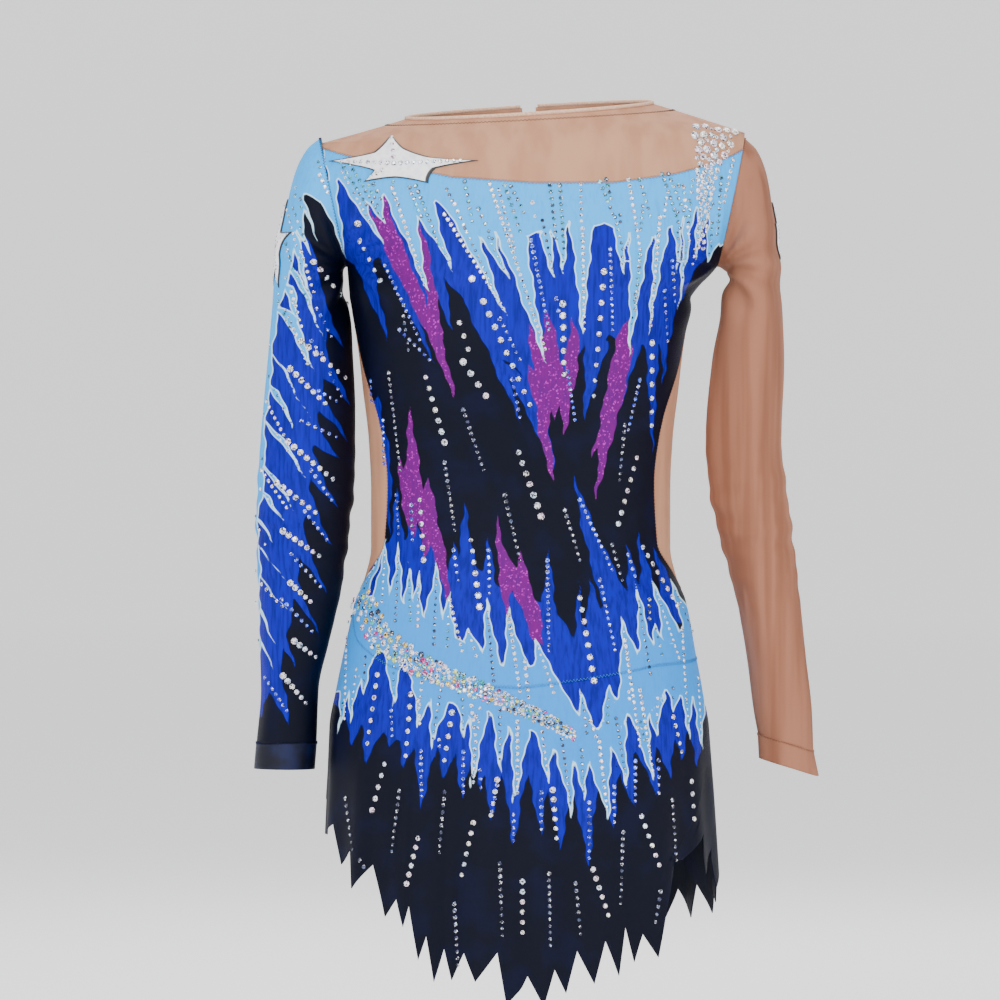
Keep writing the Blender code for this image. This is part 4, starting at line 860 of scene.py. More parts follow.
def declare(points, held, closed=False):
    """Works out a sheet's cut width, length and area, smaller than it is worn by how much the cloth stretches;
    nothing is done with them.
    """
    give = STRETCH if held == "stretched" else 1.0
    width = arc(points, 1, closed) / give
    length = arc(points, 0) / give
    down = np.diff(points, axis=0)
    wrapped = np.concatenate([points, points[:, :1]], 1) if closed else points
    across = np.diff(wrapped, axis=1)[:-1]
    down = down if closed else down[:, :-1]
    area = float(np.linalg.norm(np.cross(down, across), axis=-1).sum()) / give**2
    area = float(np.clip(area, LEAST_FILL * width * length, width * length))


def tube(name, path, outs, radius, material, closed=False, sides=6, flatten=1.0):
    """A round or flattened cord: rings along a path, spanned by the outward and the sideways direction."""
    step = np.roll(path, -1, 0) - np.roll(path, 1, 0) if closed else np.gradient(path, axis=0)
    along = unit(step)
    outs = unit(outs - (outs * along).sum(-1, keepdims=True) * along)
    aside = np.cross(along, outs)
    angle = np.arange(sides) * 2 * math.pi / sides
    high = flatten * np.cos(angle)[:, None] * outs[:, None]
    wide = np.sin(angle)[:, None] * aside[:, None]
    rings = path[:, None] + radius * (high + wide)
    count = len(path)
    index = np.arange(count * sides).reshape(count, sides)
    ahead = np.roll(index, -1, 0) if closed else index[1:]
    here = index if closed else index[:-1]
    quads = np.stack([here, np.roll(here, -1, 1), np.roll(ahead, -1, 1), ahead], -1).reshape(-1, 4).tolist()
    if not closed:
        quads.append(index[0, ::-1].tolist())
        quads.append(index[-1].tolist())
    mesh = bpy.data.meshes.new(name)
    mesh.from_pydata(rings.reshape(-1, 3).tolist(), [], quads)
    return filed(name, mesh, material)


def resampled(path, outs, pitch):
    """Points every pitch along a line, with their outward directions."""
    lengths = np.concatenate([[0.0], np.cumsum(np.linalg.norm(np.diff(path, axis=0), axis=1))])
    at = np.arange(0, lengths[-1], pitch)
    points = np.stack([np.interp(at, lengths, path[:, k]) for k in range(3)], -1)
    facing = np.stack([np.interp(at, lengths, outs[:, k]) for k in range(3)], -1)
    return points, unit(facing)


def zigzag(name, path, outs, width, pitch, thread, material):
    """A zigzag stitch over a seam: the thread steps from side to side of it, a little above the cloth."""
    points, facing = resampled(path, outs, pitch)
    aside = np.cross(unit(np.gradient(points, axis=0)), facing)
    swing = np.where(np.arange(len(points)) % 2 == 0, 0.5, -0.5)[:, None] * width
    line = points + aside * swing + facing * thread
    return tube(name, line, facing, thread, material, sides=5)


# ---------------------------------------------------------------- stones


def stone_shape(sides=8):
    """A flat-backed cut stone of radius 1: girdle, table and the facets between them."""
    angle = np.arange(sides) * 2 * math.pi / sides
    turned = angle + math.pi / sides
    base = np.stack([np.cos(angle), np.sin(angle), 0 * angle], -1)
    girdle = base + [0, 0, 0.22]
    table = np.stack([0.56 * np.cos(turned), 0.56 * np.sin(turned), 0 * angle + 0.62], -1)
    k = np.arange(sides)
    n = (k + 1) % sides
    walls = np.stack([k, n, sides + n, sides + k], -1)
    lower = np.stack([sides + k, sides + n, 2 * sides + k], -1)
    upper = np.stack([sides + n, 2 * sides + n, 2 * sides + k], -1)
    flats = [k[::-1][None], walls, lower, upper, (2 * sides + k)[None]]
    return np.concatenate([base, girdle, table]), flats


def stone_mesh(name, places, outs, radii, tints, material):
    """Many cut stones as one mesh, each standing on its place and facing out, with its own tint number."""
    shape, flats = stone_shape()
    outs = unit(outs)
    first = unit(np.cross(outs, [0.31, 0.20, 0.93]))
    second = np.cross(outs, first)
    axes = np.stack([first, second, outs], 1)
    points = places[:, None] + radii[:, None, None] * np.einsum("vk,nkc->nvc", shape, axes)
    offset = np.arange(len(places)) * len(shape)
    faces = []
    for block in flats:
        faces += (offset[:, None, None] + block[None]).reshape(-1, block.shape[1]).tolist()
    mesh = bpy.data.meshes.new(name)
    mesh.from_pydata(points.reshape(-1, 3).tolist(), [], faces)
    tint = mesh.attributes.new("tint", "FLOAT", "POINT")
    tint.data.foreach_set("value", np.repeat(tints, len(shape)).astype(np.float32))
    return filed(name, mesh, material, smooth_shade=False)


def lay(surface, flat, plane=(0, 2), facing=(1, -1.0)):
    """Lays flat points on a surface along one axis: the nearest grid point, corrected by the slope there."""
    points, outs = surface
    seen = outs[:, facing[0]] * facing[1] > 0.12
    points = points[seen]
    outs = outs[seen]
    near = np.concatenate([
        np.argmin(((part[:, None] - points[None][..., plane]) ** 2).sum(-1), 1)
        for part in np.array_split(flat, max(1, len(flat) // 40))
    ])
    place = points[near].copy()
    out = outs[near]
    shift = flat - place[:, plane]
    gap = np.hypot(*shift.T)
    place[:, plane] = flat
    rise = -(out[:, plane] * shift).sum(-1) / out[:, facing[0]]
    place[:, facing[0]] += np.clip(rise, -0.002, 0.002)
    return place, out, gap


def spread(line):
    """Stones along one line, evenly spaced, as x, z, radius."""
    x0, z0, x1, z1, count, first, last = line
    s = np.linspace(0, 1, int(count))
    return np.stack([mix(x0, x1, s) * MM, mix(z0, z1, s) * MM, mix(first, last, s)], -1)


def small_row(x0, z0, x1, z1, radii, pitch):
    length = math.hypot(x1 - x0, z1 - z0) * MM
    count = max(2, int(length / pitch))
    return spread((x0, z0, x1, z1, count, *radii))


def flame_row(tooth):
    """A row of stones up the middle of a flame, from behind its foot to near its tip."""
    left, right, tip = np.array(tooth, float).reshape(3, 2)
    foot = (left + right) / 2
    start = foot - 0.35 * (tip - foot)
    end = foot + 0.72 * (tip - foot)
    return small_row(*start, *end, FLAME_ROW_RADII, ROW_PITCH)


def apart(stones, taken, share=1.0):
    """The stones that don't touch one placed before them, or overlap it by more than a share of their radii."""
    kept = []
    held = [np.array(t) for t in taken]
    for stone in stones:
        if held:
            others = np.array(held)
            if (np.hypot(*(others[:, :2] - stone[:2]).T) < share * (others[:, 2] + stone[2])).any():
                continue
        kept.append(stone)
        held.append(stone)
    return np.array(kept).reshape(-1, 3)


def packed(path, radii, seed, pack):
    """Stones thrown at a tapering band and kept where they don't touch."""
    random = np.random.default_rng(seed)
    path = np.array(path)
    lengths = np.concatenate([[0.0], np.cumsum(np.hypot(*np.diff(path[:, :2], axis=0).T))])
    along = random.uniform(0, lengths[-1], pack)
    line = [np.interp(along, lengths, path[:, k]) for k in range(3)]
    ahead = [
        np.interp(along + MM, lengths, path[:, k]) - np.interp(along - MM, lengths, path[:, k]) for k in range(2)
    ]
    size = np.hypot(*ahead)
    off = random.uniform(-0.5, 0.5, pack) * line[2]
    x = line[0] - ahead[1] / size * off
    z = line[1] + ahead[0] / size * off
    radius = np.clip(line[2] * 0.15, *radii) * random.uniform(0.45, 1.0, pack)
    stones = np.stack([x, z, radius], -1)
    return stones[np.argsort(-radius)]


# ---------------------------------------------------------------- materials


def node(tree, kind, inputs=(), **settings):
    """A node with its settings, and its inputs set to values or linked from sockets."""
    made = tree.nodes.new(kind)
    for key, value in settings.items():
        setattr(made, key, value)
    for key, value in dict(inputs).items():
        if isinstance(value, bpy.types.NodeSocket):
            tree.links.new(value, made.inputs[key])
        else:
            made.inputs[key].default_value = value
    return made


def calc(tree, operation, *values):
    made = node(tree, "ShaderNodeMath", dict(enumerate(values)), operation=operation)
    return made.outputs[0]


def blend_colour(tree, share, low, high):
    made = node(tree, "ShaderNodeMix", data_type="RGBA")
    for key, value in ((0, share), (6, low), (7, high)):
        if isinstance(value, bpy.types.NodeSocket):
            tree.links.new(value, made.inputs[key])
        else:
            made.inputs[key].default_value = value if key == 0 else (*value, 1.0)
    return made.outputs[2]


def attribute(tree, name):
    return node(tree, "ShaderNodeAttribute", attribute_name=name).outputs["Fac"]


def cloth_map(tree):
    return node(tree, "ShaderNodeUVMap", uv_map="cloth").outputs[0]


def stretched(tree, source, scale):
    return node(tree, "ShaderNodeVectorMath", {0: source, 1: scale}, operation="MULTIPLY").outputs[0]


def noise(tree, source, scale, detail=2.0):
    inputs = {"Vector": source, "Scale": scale, "Detail": detail}
    return node(tree, "ShaderNodeTexNoise", inputs).outputs[0]


def object_place(tree):
    return node(tree, "ShaderNodeTexCoord").outputs["Object"]


def step_up(tree, value, low, high):
    inputs = {"Value": value, "From Min": low, "From Max": high}
    return node(tree, "ShaderNodeMapRange", inputs, interpolation_type="SMOOTHSTEP").outputs[0]


def bump(tree, height, strength, distance):
    inputs = {"Height": height, "Strength": strength, "Distance": distance}
    return node(tree, "ShaderNodeBump", inputs).outputs[0]


def new_material(name):
    made = bpy.data.materials.new(name)
    made.use_nodes = True
    shader = made.node_tree.nodes["Principled BSDF"]
    return made, made.node_tree, shader


def wire(tree, shader, **inputs):
    """Sets or links inputs of the main shader, given with underscores for spaces."""
    for key, value in inputs.items():
        socket = shader.inputs[key.replace("_", " ")]
        if isinstance(value, bpy.types.NodeSocket):
            tree.links.new(value, socket)
        elif isinstance(value, tuple):
            socket.default_value = (*value, 1.0)
        else:
            socket.default_value = value


def knit(tree, pitch):
    """The height of a fine knit: crossed ribs over the cloth's own map."""
    parts = node(tree, "ShaderNodeSeparateXYZ", {0: cloth_map(tree)})
    turn = 2 * math.pi / pitch
    ribs = calc(tree, "SINE", calc(tree, "MULTIPLY", parts.outputs[0], turn))
    loops = calc(tree, "SINE", calc(tree, "MULTIPLY", parts.outputs[1], turn * 1.3))
    return calc(tree, "MULTIPLY", ribs, loops)


def print_material(colours):
    """Printed lycra: four colours by how deep the cloth lies in each outline, streaks, glitter flakes painted
    brighter as their glints, and a knit.
    """
    made, tree, shader = new_material("printed_cloth")
    place = object_place(tree)
    streak = noise(tree, stretched(tree, place, (420.0, 420.0, 42.0)), 1.0, 3.0)
    cloud = noise(tree, place, 36.0, 2.0)
    height = node(tree, "ShaderNodeSeparateXYZ", {0: place}).outputs[2]
    low = step_up(tree, calc(tree, "MULTIPLY", height, -1.0), 0.20, 0.45)
    sky = blend_colour(tree, low, tuple(colours.sky), tuple(colours.sky_low))
    faint = calc(tree, "MULTIPLY", step_up(tree, streak, 0.45, 0.75), 0.22)
    sky = blend_colour(tree, faint, sky, srgb(12, 120, 205))
    royal = blend_colour(tree, step_up(tree, streak, 0.35, 0.70), tuple(colours.royal), srgb(5, 12, 120))
    purple = blend_colour(tree, step_up(tree, streak, 0.35, 0.70), tuple(colours.purple), srgb(90, 5, 110))
    navy = blend_colour(tree, step_up(tree, cloud, 0.45, 0.70), tuple(colours.navy), srgb(1, 5, 34))
    # Glitter flakes on the purple, painted as bright specks that stand in for their glints
    cells = node(tree, "ShaderNodeTexVoronoi", {"Vector": place, "Scale": 850.0})
    glitter_glints = node(tree, "ShaderNodeSeparateColor", {0: cells.outputs["Color"]}).outputs[0]
    purple = blend_colour(tree, step_up(tree, glitter_glints, 0.84, 0.99), purple, srgb(176, 30, 176))
    depth = {name: attribute(tree, name) for name in ("sky", "royal", "purple")}
    colour = blend_colour(tree, step_up(tree, depth["royal"], -EDGE_GIVE, EDGE_GIVE), navy, royal)
    colour = blend_colour(tree, step_up(tree, depth["purple"], -EDGE_GIVE, EDGE_GIVE), colour, purple)
    colour = blend_colour(tree, step_up(tree, depth["sky"], -EDGE_GIVE, EDGE_GIVE), colour, srgb(196, 236, 255))
    colour = blend_colour(tree, step_up(tree, depth["sky"], OUTLINE / 2, 1.5 * OUTLINE), colour, sky)
    wire(tree, shader, Base_Color=colour, Roughness=0.55, Specular_IOR_Level=0.12)
    wire(tree, shader, Normal=bump(tree, knit(tree, 0.0011), 0.20, 0.0003))
    return made


def skin_material(name, colour, shade, streaks):
    """Skin-tone stretch mesh: a net of fine holes over the cloth's map, and long soft darker streaks that run up
    and down.
    """
    made, tree, shader = new_material(name)
    net = knit(tree, 0.0013)
    # Long soft streaks of a darker tone, from a noise stretched along the height
    pull = noise(tree, stretched(tree, object_place(tree), streaks), 1.0, 2.0)
    colour = blend_colour(tree, step_up(tree, pull, 0.38, 0.68), tuple(colour), shade)
    colour = blend_colour(tree, calc(tree, "MULTIPLY", step_up(tree, net, 0.35, 0.95), 0.35), colour, shade)
    wire(tree, shader, Base_Color=colour, Roughness=0.75, Specular_IOR_Level=0.2)
    wire(tree, shader, Normal=bump(tree, net, 0.35, 0.0003))
    return made


def plain_material(name, colour, shade, roughness, pitch):
    """Plain cloth or tape: a knit, and a soft change of shade."""
    made, tree, shader = new_material(name)
    cloud = noise(tree, object_place(tree), 60.0, 3.0)
    mixed = blend_colour(tree, step_up(tree, cloud, 0.35, 0.70), tuple(colour), shade)
    wire(tree, shader, Base_Color=mixed, Roughness=roughness, Specular_IOR_Level=0.25)
    wire(tree, shader, Normal=bump(tree, knit(tree, pitch), 0.3, 0.0003))
    return made


def thread_material(name, colour, shade, roughness=0.6, metallic=0.0):
    """Thread, cord or lacquered metal: its colour, fine lengthwise wear and a little grain."""
    made, tree, shader = new_material(name)
    place = object_place(tree)
    wear = noise(tree, place, 900.0, 3.0)
    mixed = blend_colour(tree, step_up(tree, wear, 0.35, 0.70), colour, shade)
    wire(tree, shader, Base_Color=mixed, Roughness=roughness, Metallic=metallic)
    wire(tree, shader, Normal=bump(tree, wear, 0.2, 0.0001))
    return made


def stone_material(name, ramp, painted_glow):
    """Foil-backed cut glass: a colour by the stone's tint, broken into cells of painted dark reflection and
    painted glint, and given a painted glow.
    """
    made, tree, shader = new_material(name)
    tint = node(tree, "ShaderNodeValToRGB", {0: attribute(tree, "tint")})
    tint.color_ramp.interpolation = "CONSTANT"
    while len(tint.color_ramp.elements) < len(ramp):
        tint.color_ramp.elements.new(1.0)
    for k, (element, colour) in enumerate(zip(tint.color_ramp.elements, ramp)):
        element.position = k / len(ramp)
        element.color = (*colour, 1.0)
    # Cells over each stone: the darkest are painted dark reflection, the brightest painted white glints
    cells = node(tree, "ShaderNodeTexVoronoi", {"Vector": object_place(tree), "Scale": 1150.0})
    reflection_cells = node(tree, "ShaderNodeSeparateColor", {0: cells.outputs["Color"]}).outputs[0]
    dark = step_up(tree, reflection_cells, 0.24, 0.40)
    colour = blend_colour(tree, dark, srgb(26, 24, 44), tint.outputs[0])
    light = step_up(tree, reflection_cells, 0.78, 0.90)
    colour = blend_colour(tree, light, colour, srgb(250, 250, 255))
    wire(tree, shader, Base_Color=colour, Roughness=0.12, Metallic=0.35, Coat_Weight=0.6, Coat_Roughness=0.03)
    # Painted glow: the stones give off light of their own colour though they are no lamps
    wire(tree, shader, Emission_Color=colour, Emission_Strength=painted_glow)
    return made


def satin_material(colours):
    """White satin with a black sewn edge, by how far a point lies from the shape's middle."""
    made, tree, shader = new_material("white_satin")
    rim = step_up(tree, attribute(tree, "rim"), 0.90, 0.925)
    cloud = noise(tree, object_place(tree), 240.0, 3.0)
    satin = blend_colour(tree, step_up(tree, cloud, 0.4, 0.7), tuple(colours.white), srgb(228, 230, 240))
    colour = blend_colour(tree, rim, satin, srgb(12, 12, 18))
    wire(tree, shader, Base_Color=colour, Roughness=0.38, Sheen_Weight=0.2)
    wire(tree, shader, Normal=bump(tree, cloud, 0.25, 0.0005))
    return made


def make_materials(colours):
    MATERIALS.update({
        "print": print_material(colours),
        "yoke": skin_material("yoke_mesh", colours.yoke, srgb(180, 128, 100), (60.0, 60.0, 9.0)),
        "arm": skin_material("arm_mesh", colours.arm, srgb(136, 86, 64), (75.0, 60.0, 4.0)),
        "navy": plain_material("navy_cloth", colours.navy, srgb(9, 20, 60), 0.5, 0.0011),
        "lining": plain_material("lining_cloth", srgb(205, 165, 140), srgb(190, 148, 122), 0.8, 0.0012),
        "tape": plain_material("zip_tape", srgb(196, 150, 122), srgb(172, 124, 98), 0.75, 0.0008),
        "elastic": thread_material("rubber_elastic", srgb(214, 180, 156), srgb(190, 150, 124), 0.7),
        "edging": thread_material("skin_edging", srgb(222, 184, 158), srgb(196, 150, 122), 0.7),
        "navy_edging": thread_material("navy_edging", srgb(6, 12, 40), srgb(12, 22, 66), 0.6),
        "dark_thread": thread_material("dark_thread", srgb(70, 48, 40), srgb(40, 26, 24), 0.7),
        "skin_thread": thread_material("skin_thread", srgb(170, 122, 96), srgb(140, 96, 74), 0.7),
        "navy_thread": thread_material("navy_thread", srgb(14, 26, 80), srgb(5, 10, 36), 0.6),
        "sky_thread": thread_material("sky_thread", srgb(60, 140, 205), srgb(40, 110, 180), 0.6),
        "nylon": thread_material("nylon_coil", srgb(196, 152, 124), srgb(166, 120, 94), 0.35),
        "metal": thread_material("lacquered_metal", srgb(206, 172, 146), srgb(176, 138, 112), 0.3, 0.8),
        "satin": satin_material(colours),
        # The last number of each stone material is the strength of its painted glow
        "clear": stone_material("clear_stones", (
            srgb(226, 224, 236), srgb(236, 214, 226), srgb(206, 222, 240), srgb(240, 236, 226)), 0.22),
        "teal": stone_material("teal_stones", (
            srgb(20, 130, 150), srgb(60, 186, 196), srgb(12, 92, 124)), 0.05),
        "sapphire": stone_material("sapphire_stones", (srgb(14, 40, 205), srgb(70, 110, 255)), 0.10),
        "jet": stone_material("jet_stones", (srgb(16, 22, 52), srgb(36, 46, 84), srgb(70, 84, 120)), 0.02),
        "belt": stone_material("belt_stones", (
            srgb(226, 224, 236), srgb(236, 214, 226), srgb(196, 226, 110), srgb(206, 222, 240),
            srgb(40, 170, 160), srgb(214, 50, 140), srgb(236, 196, 70), srgb(30, 34, 54)), 0.22),
    })


# ---------------------------------------------------------------- cloth pieces


def remember(name, points, closed=False):
    """Keeps a surface's points and outward directions for what is laid on it."""
    outs = outward(points, closed)
    SURFACES[name] = (points.reshape(-1, 3), outs.reshape(-1, 3))
    return outs


def body_panel(name, heights, turns, look, sizes, layout=None, lift=0.0):
    """A panel on the body's surface, creased at the armpits, printed if it has a layout."""
    points = torso(heights, turns)
    outs = outward(points)
    points = creased(points + lift * outs, outs, sizes.fold)
    attributes = printed(points, layout) if layout else None
    obj = cloth_sheet(name + "_cloth", points, MATERIALS[look], sizes.cloth, attributes=attributes)
    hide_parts(name)
    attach(obj, ROOT)
    declare(points, "stretched")
    remember(name, points)
    return obj


def counts(width, length, step):
    return int(width / step), int(length / step)


def make_body(sizes):
    """Front and back of the bodice, the yokes above them and the mesh inserts at the waist."""
    across, down = shares(*counts(0.42, 0.075, sizes.step))
    turn = mix(-1.0, 1.0, across)
    body_panel("yoke_front", mix(0.0, seam(YOKE_SEAM, turn), down), turn, "yoke", sizes)
    across, down = shares(*counts(0.42, 0.43, sizes.step))
    share = mix(-1.0, 1.0, across)
    heights = mix(seam(YOKE_SEAM, share), seam(SKIRT_SEAM, share), down)
    limit = np.where(heights > INSERT_EDGE[0][0], 1.0, stations(INSERT_EDGE, heights, 1))
    body_panel("bodice_front", heights, share * limit, "print", sizes, "body")
    for side, sign in SIDE_SIGN.items():
        make_back(side, sign, sizes)
        across, down = shares(*counts(0.10, 0.23, sizes.step))
        heights = mix(INSERT_EDGE[0][0], INSERT_EDGE[-1][0], down)
        edge = stations(INSERT_EDGE, heights, 1)
        turn = mix(edge, 2 - edge, across) if sign > 0 else -mix(2 - edge, edge, across)
        body_panel(f"side_panel_{side}", heights, turn, "yoke", sizes)


def make_back(side, sign, sizes):
    """One half of the back: the mesh yoke and the printed panel below it, either side of the zip."""
    across, down = shares(*counts(0.20, 0.08, sizes.step))
    heights = mix(0.0, BACK_YOKE_Z, down)
    inner = turn_at(side, heights, NECK_SHIFT + sign * BACK_OPENING)
    turn = mix(inner, sign, across) if sign > 0 else mix(sign, inner, across)
    turn = turn[:, ::-1]
    body_panel(f"yoke_back_{side}", heights, turn, "yoke", sizes)
    across, down = shares(*counts(0.20, 0.36, sizes.step))
    to_middle = 1 - across if sign < 0 else across
    middle = (seam(SKIRT_SEAM, 1.0) + seam(SKIRT_SEAM, -1.0)) / 2
    foot = mix(seam(SKIRT_SEAM, sign), middle, to_middle)
    heights = mix(BACK_YOKE_Z, foot, down)
    limit = np.where(heights > INSERT_EDGE[0][0], 1.0, stations(INSERT_EDGE, heights, 1))
    opening = np.where(heights > ZIP_TOP_Z - ZIP_LENGTH, BACK_OPENING, 0.0)
    inner = turn_at(side, heights, NECK_SHIFT + sign * opening)
    turn = mix(sign * (2 - limit), inner, to_middle)
    body_panel(f"bodice_back_{side}", heights, turn, "print", sizes, "body")


def give(obj, side):
    """Bakes a piece's placement into its mesh."""
    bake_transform(obj)


def make_sleeves(sizes):
    """Both sleeves and their cuffs, with the sleeve's rows crowded in the band next to the armhole."""
    for side, look, cuff_look in (("left", "arm", "arm"), ("right", "print", "navy")):
        body = SLEEVE_BODY[side]
        points, along = sleeve_points(side, sizes.step)
        outs = outward(points, closed=True)
        angle = np.arange(points.shape[1]) * 2 * math.pi / points.shape[1]
        bend = np.exp(-((along - ELBOW) / 0.05) ** 2)[:, None]
        down = along[:, None]
        ripple = ELBOW_FOLD * bend * (np.sin(310 * down + 2 * np.sin(angle)) + np.sin(173 * down + angle))
        pull = PULL_FOLD * smooth(0.02, 0.08, along)[:, None] * np.sin(4 * angle + along[:, None] * 9)
        points = creased(points + (ripple + pull)[..., None] * outs, outs, sizes.fold)
        attributes = printed(points, "sleeve") if look == "print" else None
        sleeve = cloth_sheet(f"sleeve_{side}_cloth", points, MATERIALS[look], sizes.cloth, True, attributes)
        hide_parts(f"sleeve_{side}")
        give(sleeve, side)
        declare(points, "stretched", closed=True)
        remember(f"sleeve_{side}", points, True)
        table = np.array(CUFF_RINGS[side])
        rows = np.linspace(0, 1, 14)
        values = np.stack([np.interp(rows * 2, [0, 1, 2], table[:, k]) for k in range(5)], -1)
        cuff_points = ring_points(values, angle)
        cuff_points = cuff_points if SIDE_SIGN[side] > 0 else cuff_points[:, ::-1]
        cuff = cloth_sheet(f"cuff_{side}_cloth", cuff_points, MATERIALS[cuff_look], 2 * sizes.cloth, True)
        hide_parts(f"cuff_{side}")
        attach(cuff, body)
        declare(cuff_points, "stretched", closed=True)
        remember(f"cuff_{side}", cuff_points, True)


def make_skirt(sizes):
    """Front and back of the skirt, with their cut points. The front's side edges lie over the back's."""
    hem = np.array(FRONT_HEM)
    reach = stations(BODY, np.maximum(hem[:, 1], HIP_Z), 1) + FLARE_SIDE * (seam(SKIRT_SEAM, 0.0) - hem[:, 1])
    hem_turn = np.arcsin(np.clip(hem[:, 0] / reach, -1, 1)) * 2 / math.pi
    hem_share = np.clip(hem_turn / np.where(hem_turn > 0, skirt_edge(hem[:, 1]), SKIRT_SIDE_T), -1, 1)
    share = np.union1d(np.linspace(-1, 1, 170), hem_share)
    hem_z = np.interp(share, hem_share, hem[:, 1])
    down = np.linspace(0, 1, 110)[:, None]
    top = seam(SKIRT_SEAM, share)
    heights = mix(top, hem_z, down)
    turn = share * np.where(share > 0, skirt_edge(heights), SKIRT_SIDE_T)
    points = skirt_points(heights, turn, turn, seam(SKIRT_SEAM, turn))
    finish_skirt("skirt_front", points, sizes)
    share = np.union1d(np.linspace(0, 1, 200), np.linspace(0, 1, 2 * BACK_POINTS + 1))
    cuts = np.linspace(0, 1, 2 * BACK_POINTS + 1)
    rows = np.array(BACK_HEM)
    cut_z = np.interp(1 + 2 * cuts, rows[:, 0], rows[:, 1])
    cut_z = cut_z + np.where(np.arange(len(cuts)) % 2 == 1, -0.5, 0.5) * BACK_POINT_DEPTH
    cut_z[0] = FRONT_HEM[-1][1]
    top = np.interp(share, [0, 1], [SKIRT_SEAM[-1][1], SKIRT_SEAM[0][1]])
    heights = mix(top, np.interp(share, cuts, cut_z), np.linspace(0, 1, 90)[:, None])
    turn = mix(skirt_edge(heights) - SKIRT_PARTING, 4 - SKIRT_SIDE_T + SKIRT_PARTING, share)
    wrapped = np.where(turn > 2, turn - 4, turn)
    seam_z = np.interp(turn, [1, 3], [SKIRT_SEAM[-1][1], SKIRT_SEAM[0][1]])
    points = skirt_points(heights, turn, wrapped, seam_z)
    under = smooth(0.10, 0.02, share) + smooth(0.90, 0.98, share)
    points = points - outward(points) * (2 * sizes.cloth * under)[None, :, None]
    finish_skirt("skirt_back", points, sizes)


def finish_skirt(name, points, sizes):
    attributes = printed(points, "body")
    obj = cloth_sheet(name + "_cloth", points, MATERIALS["print"], sizes.cloth, attributes=attributes)
    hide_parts(name)
    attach(obj, ROOT)
    declare(points, "hung")
    remember(name, points)


def brief_points(table, low, high, share, down, behind):
    top = mix(low, high, (share + 1) / 2) if behind else seam(SKIRT_SEAM, share)
    heights = mix(top, BRIEF_BOTTOM_Z, down)
    flat = leg_turn(table, heights, share)
    turn = np.where(flat < 0, -2 - flat, 2 - flat) if behind else flat
    points = torso(heights, turn)
    return points[:, ::-1] if behind else points


def make_brief(sizes):
    """The brief under the skirt, its two-layer crotch and the lining of the chest."""
    across, down = shares(*counts(0.35, 0.22, 1.5 * sizes.step))
    share = mix(-1.0, 1.0, across)
    for name, table, behind in (("brief_front", LEG_FRONT, False), ("brief_back", LEG_BACK, True)):
        points = brief_points(table, SKIRT_SEAM[0][1], SKIRT_SEAM[-1][1], share, down, behind)
        points = points + BRIEF_LIFT * outward(points)
        add_inner(name, points, "navy", sizes)
    for name, look, lift in (("crotch_gusset", "navy", 0.0), ("gusset_lining", "lining", 0.0018)):
        front = torso(BRIEF_BOTTOM_Z, 0.0)[1] + 0.0036 + lift
        back = torso(BRIEF_BOTTOM_Z, 2.0)[1] - 0.0036 - lift
        across, along = shares(40, 50)
        half = GUSSET_WAIST + (GUSSET_HALF_WIDTH - GUSSET_WAIST) * np.abs(2 * along - 1) ** 2
        x = (2 * across - 1) * half
        z = BRIEF_BOTTOM_Z - GUSSET_SAG * np.sin(math.pi * along) + lift
        add_inner(name, np.stack([x, mix(front, back, along), z], -1), look, sizes)
    across, down = shares(*counts(0.30, 0.15, 1.5 * sizes.step))
    points = torso(mix(LINING_TOP_Z, LINING_BOTTOM_Z, down), mix(-LINING_REACH, LINING_REACH, across))
    add_inner("bust_lining", points - LINING_DEPTH * outward(points), "lining", sizes)


def add_inner(name, points, look, sizes):
    obj = cloth_sheet(name + "_cloth", points, MATERIALS[look], sizes.cloth)
    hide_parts(name)
    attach(obj, ROOT)
    declare(points, "stretched")


# ---------------------------------------------------------------- edges and seams


def leg_line(side, count=70):
    """Points round a leg opening and the outward directions there: down the front, under, up the back."""
    sign = SIDE_SIGN[side]
    z = np.linspace(LEG_FRONT[0][0], BRIEF_BOTTOM_Z, count)
    lines = []
    for table, behind in ((LEG_FRONT, False), (LEG_BACK, True)):
        flat = leg_turn(table, z - 1e-6, 1.0)
        turn = sign * (2 - flat if behind else flat)
        line = torso(z, turn)
        out = unit(np.stack([line[:, 0] * 0.5, line[:, 1], 0 * z], -1))
        lines.append((line + BRIEF_LIFT * out, out))
    (front, front_out), (back, back_out) = lines
    share = np.linspace(0, 1, 30)[1:-1, None]
    under = mix(front[-1], back[-1], share)
    under[:, 2] -= GUSSET_SAG * np.sin(math.pi * share[:, 0])
    under[:, 0] = sign * (GUSSET_WAIST + (GUSSET_HALF_WIDTH - GUSSET_WAIST) * np.abs(2 * share[:, 0] - 1) ** 2)
    under_out = np.tile([0.0, 0.0, -1.0], (len(under), 1))
    return np.concatenate([front, under, back[:0:-1]]), np.concatenate([front_out, under_out, back_out[:0:-1]])


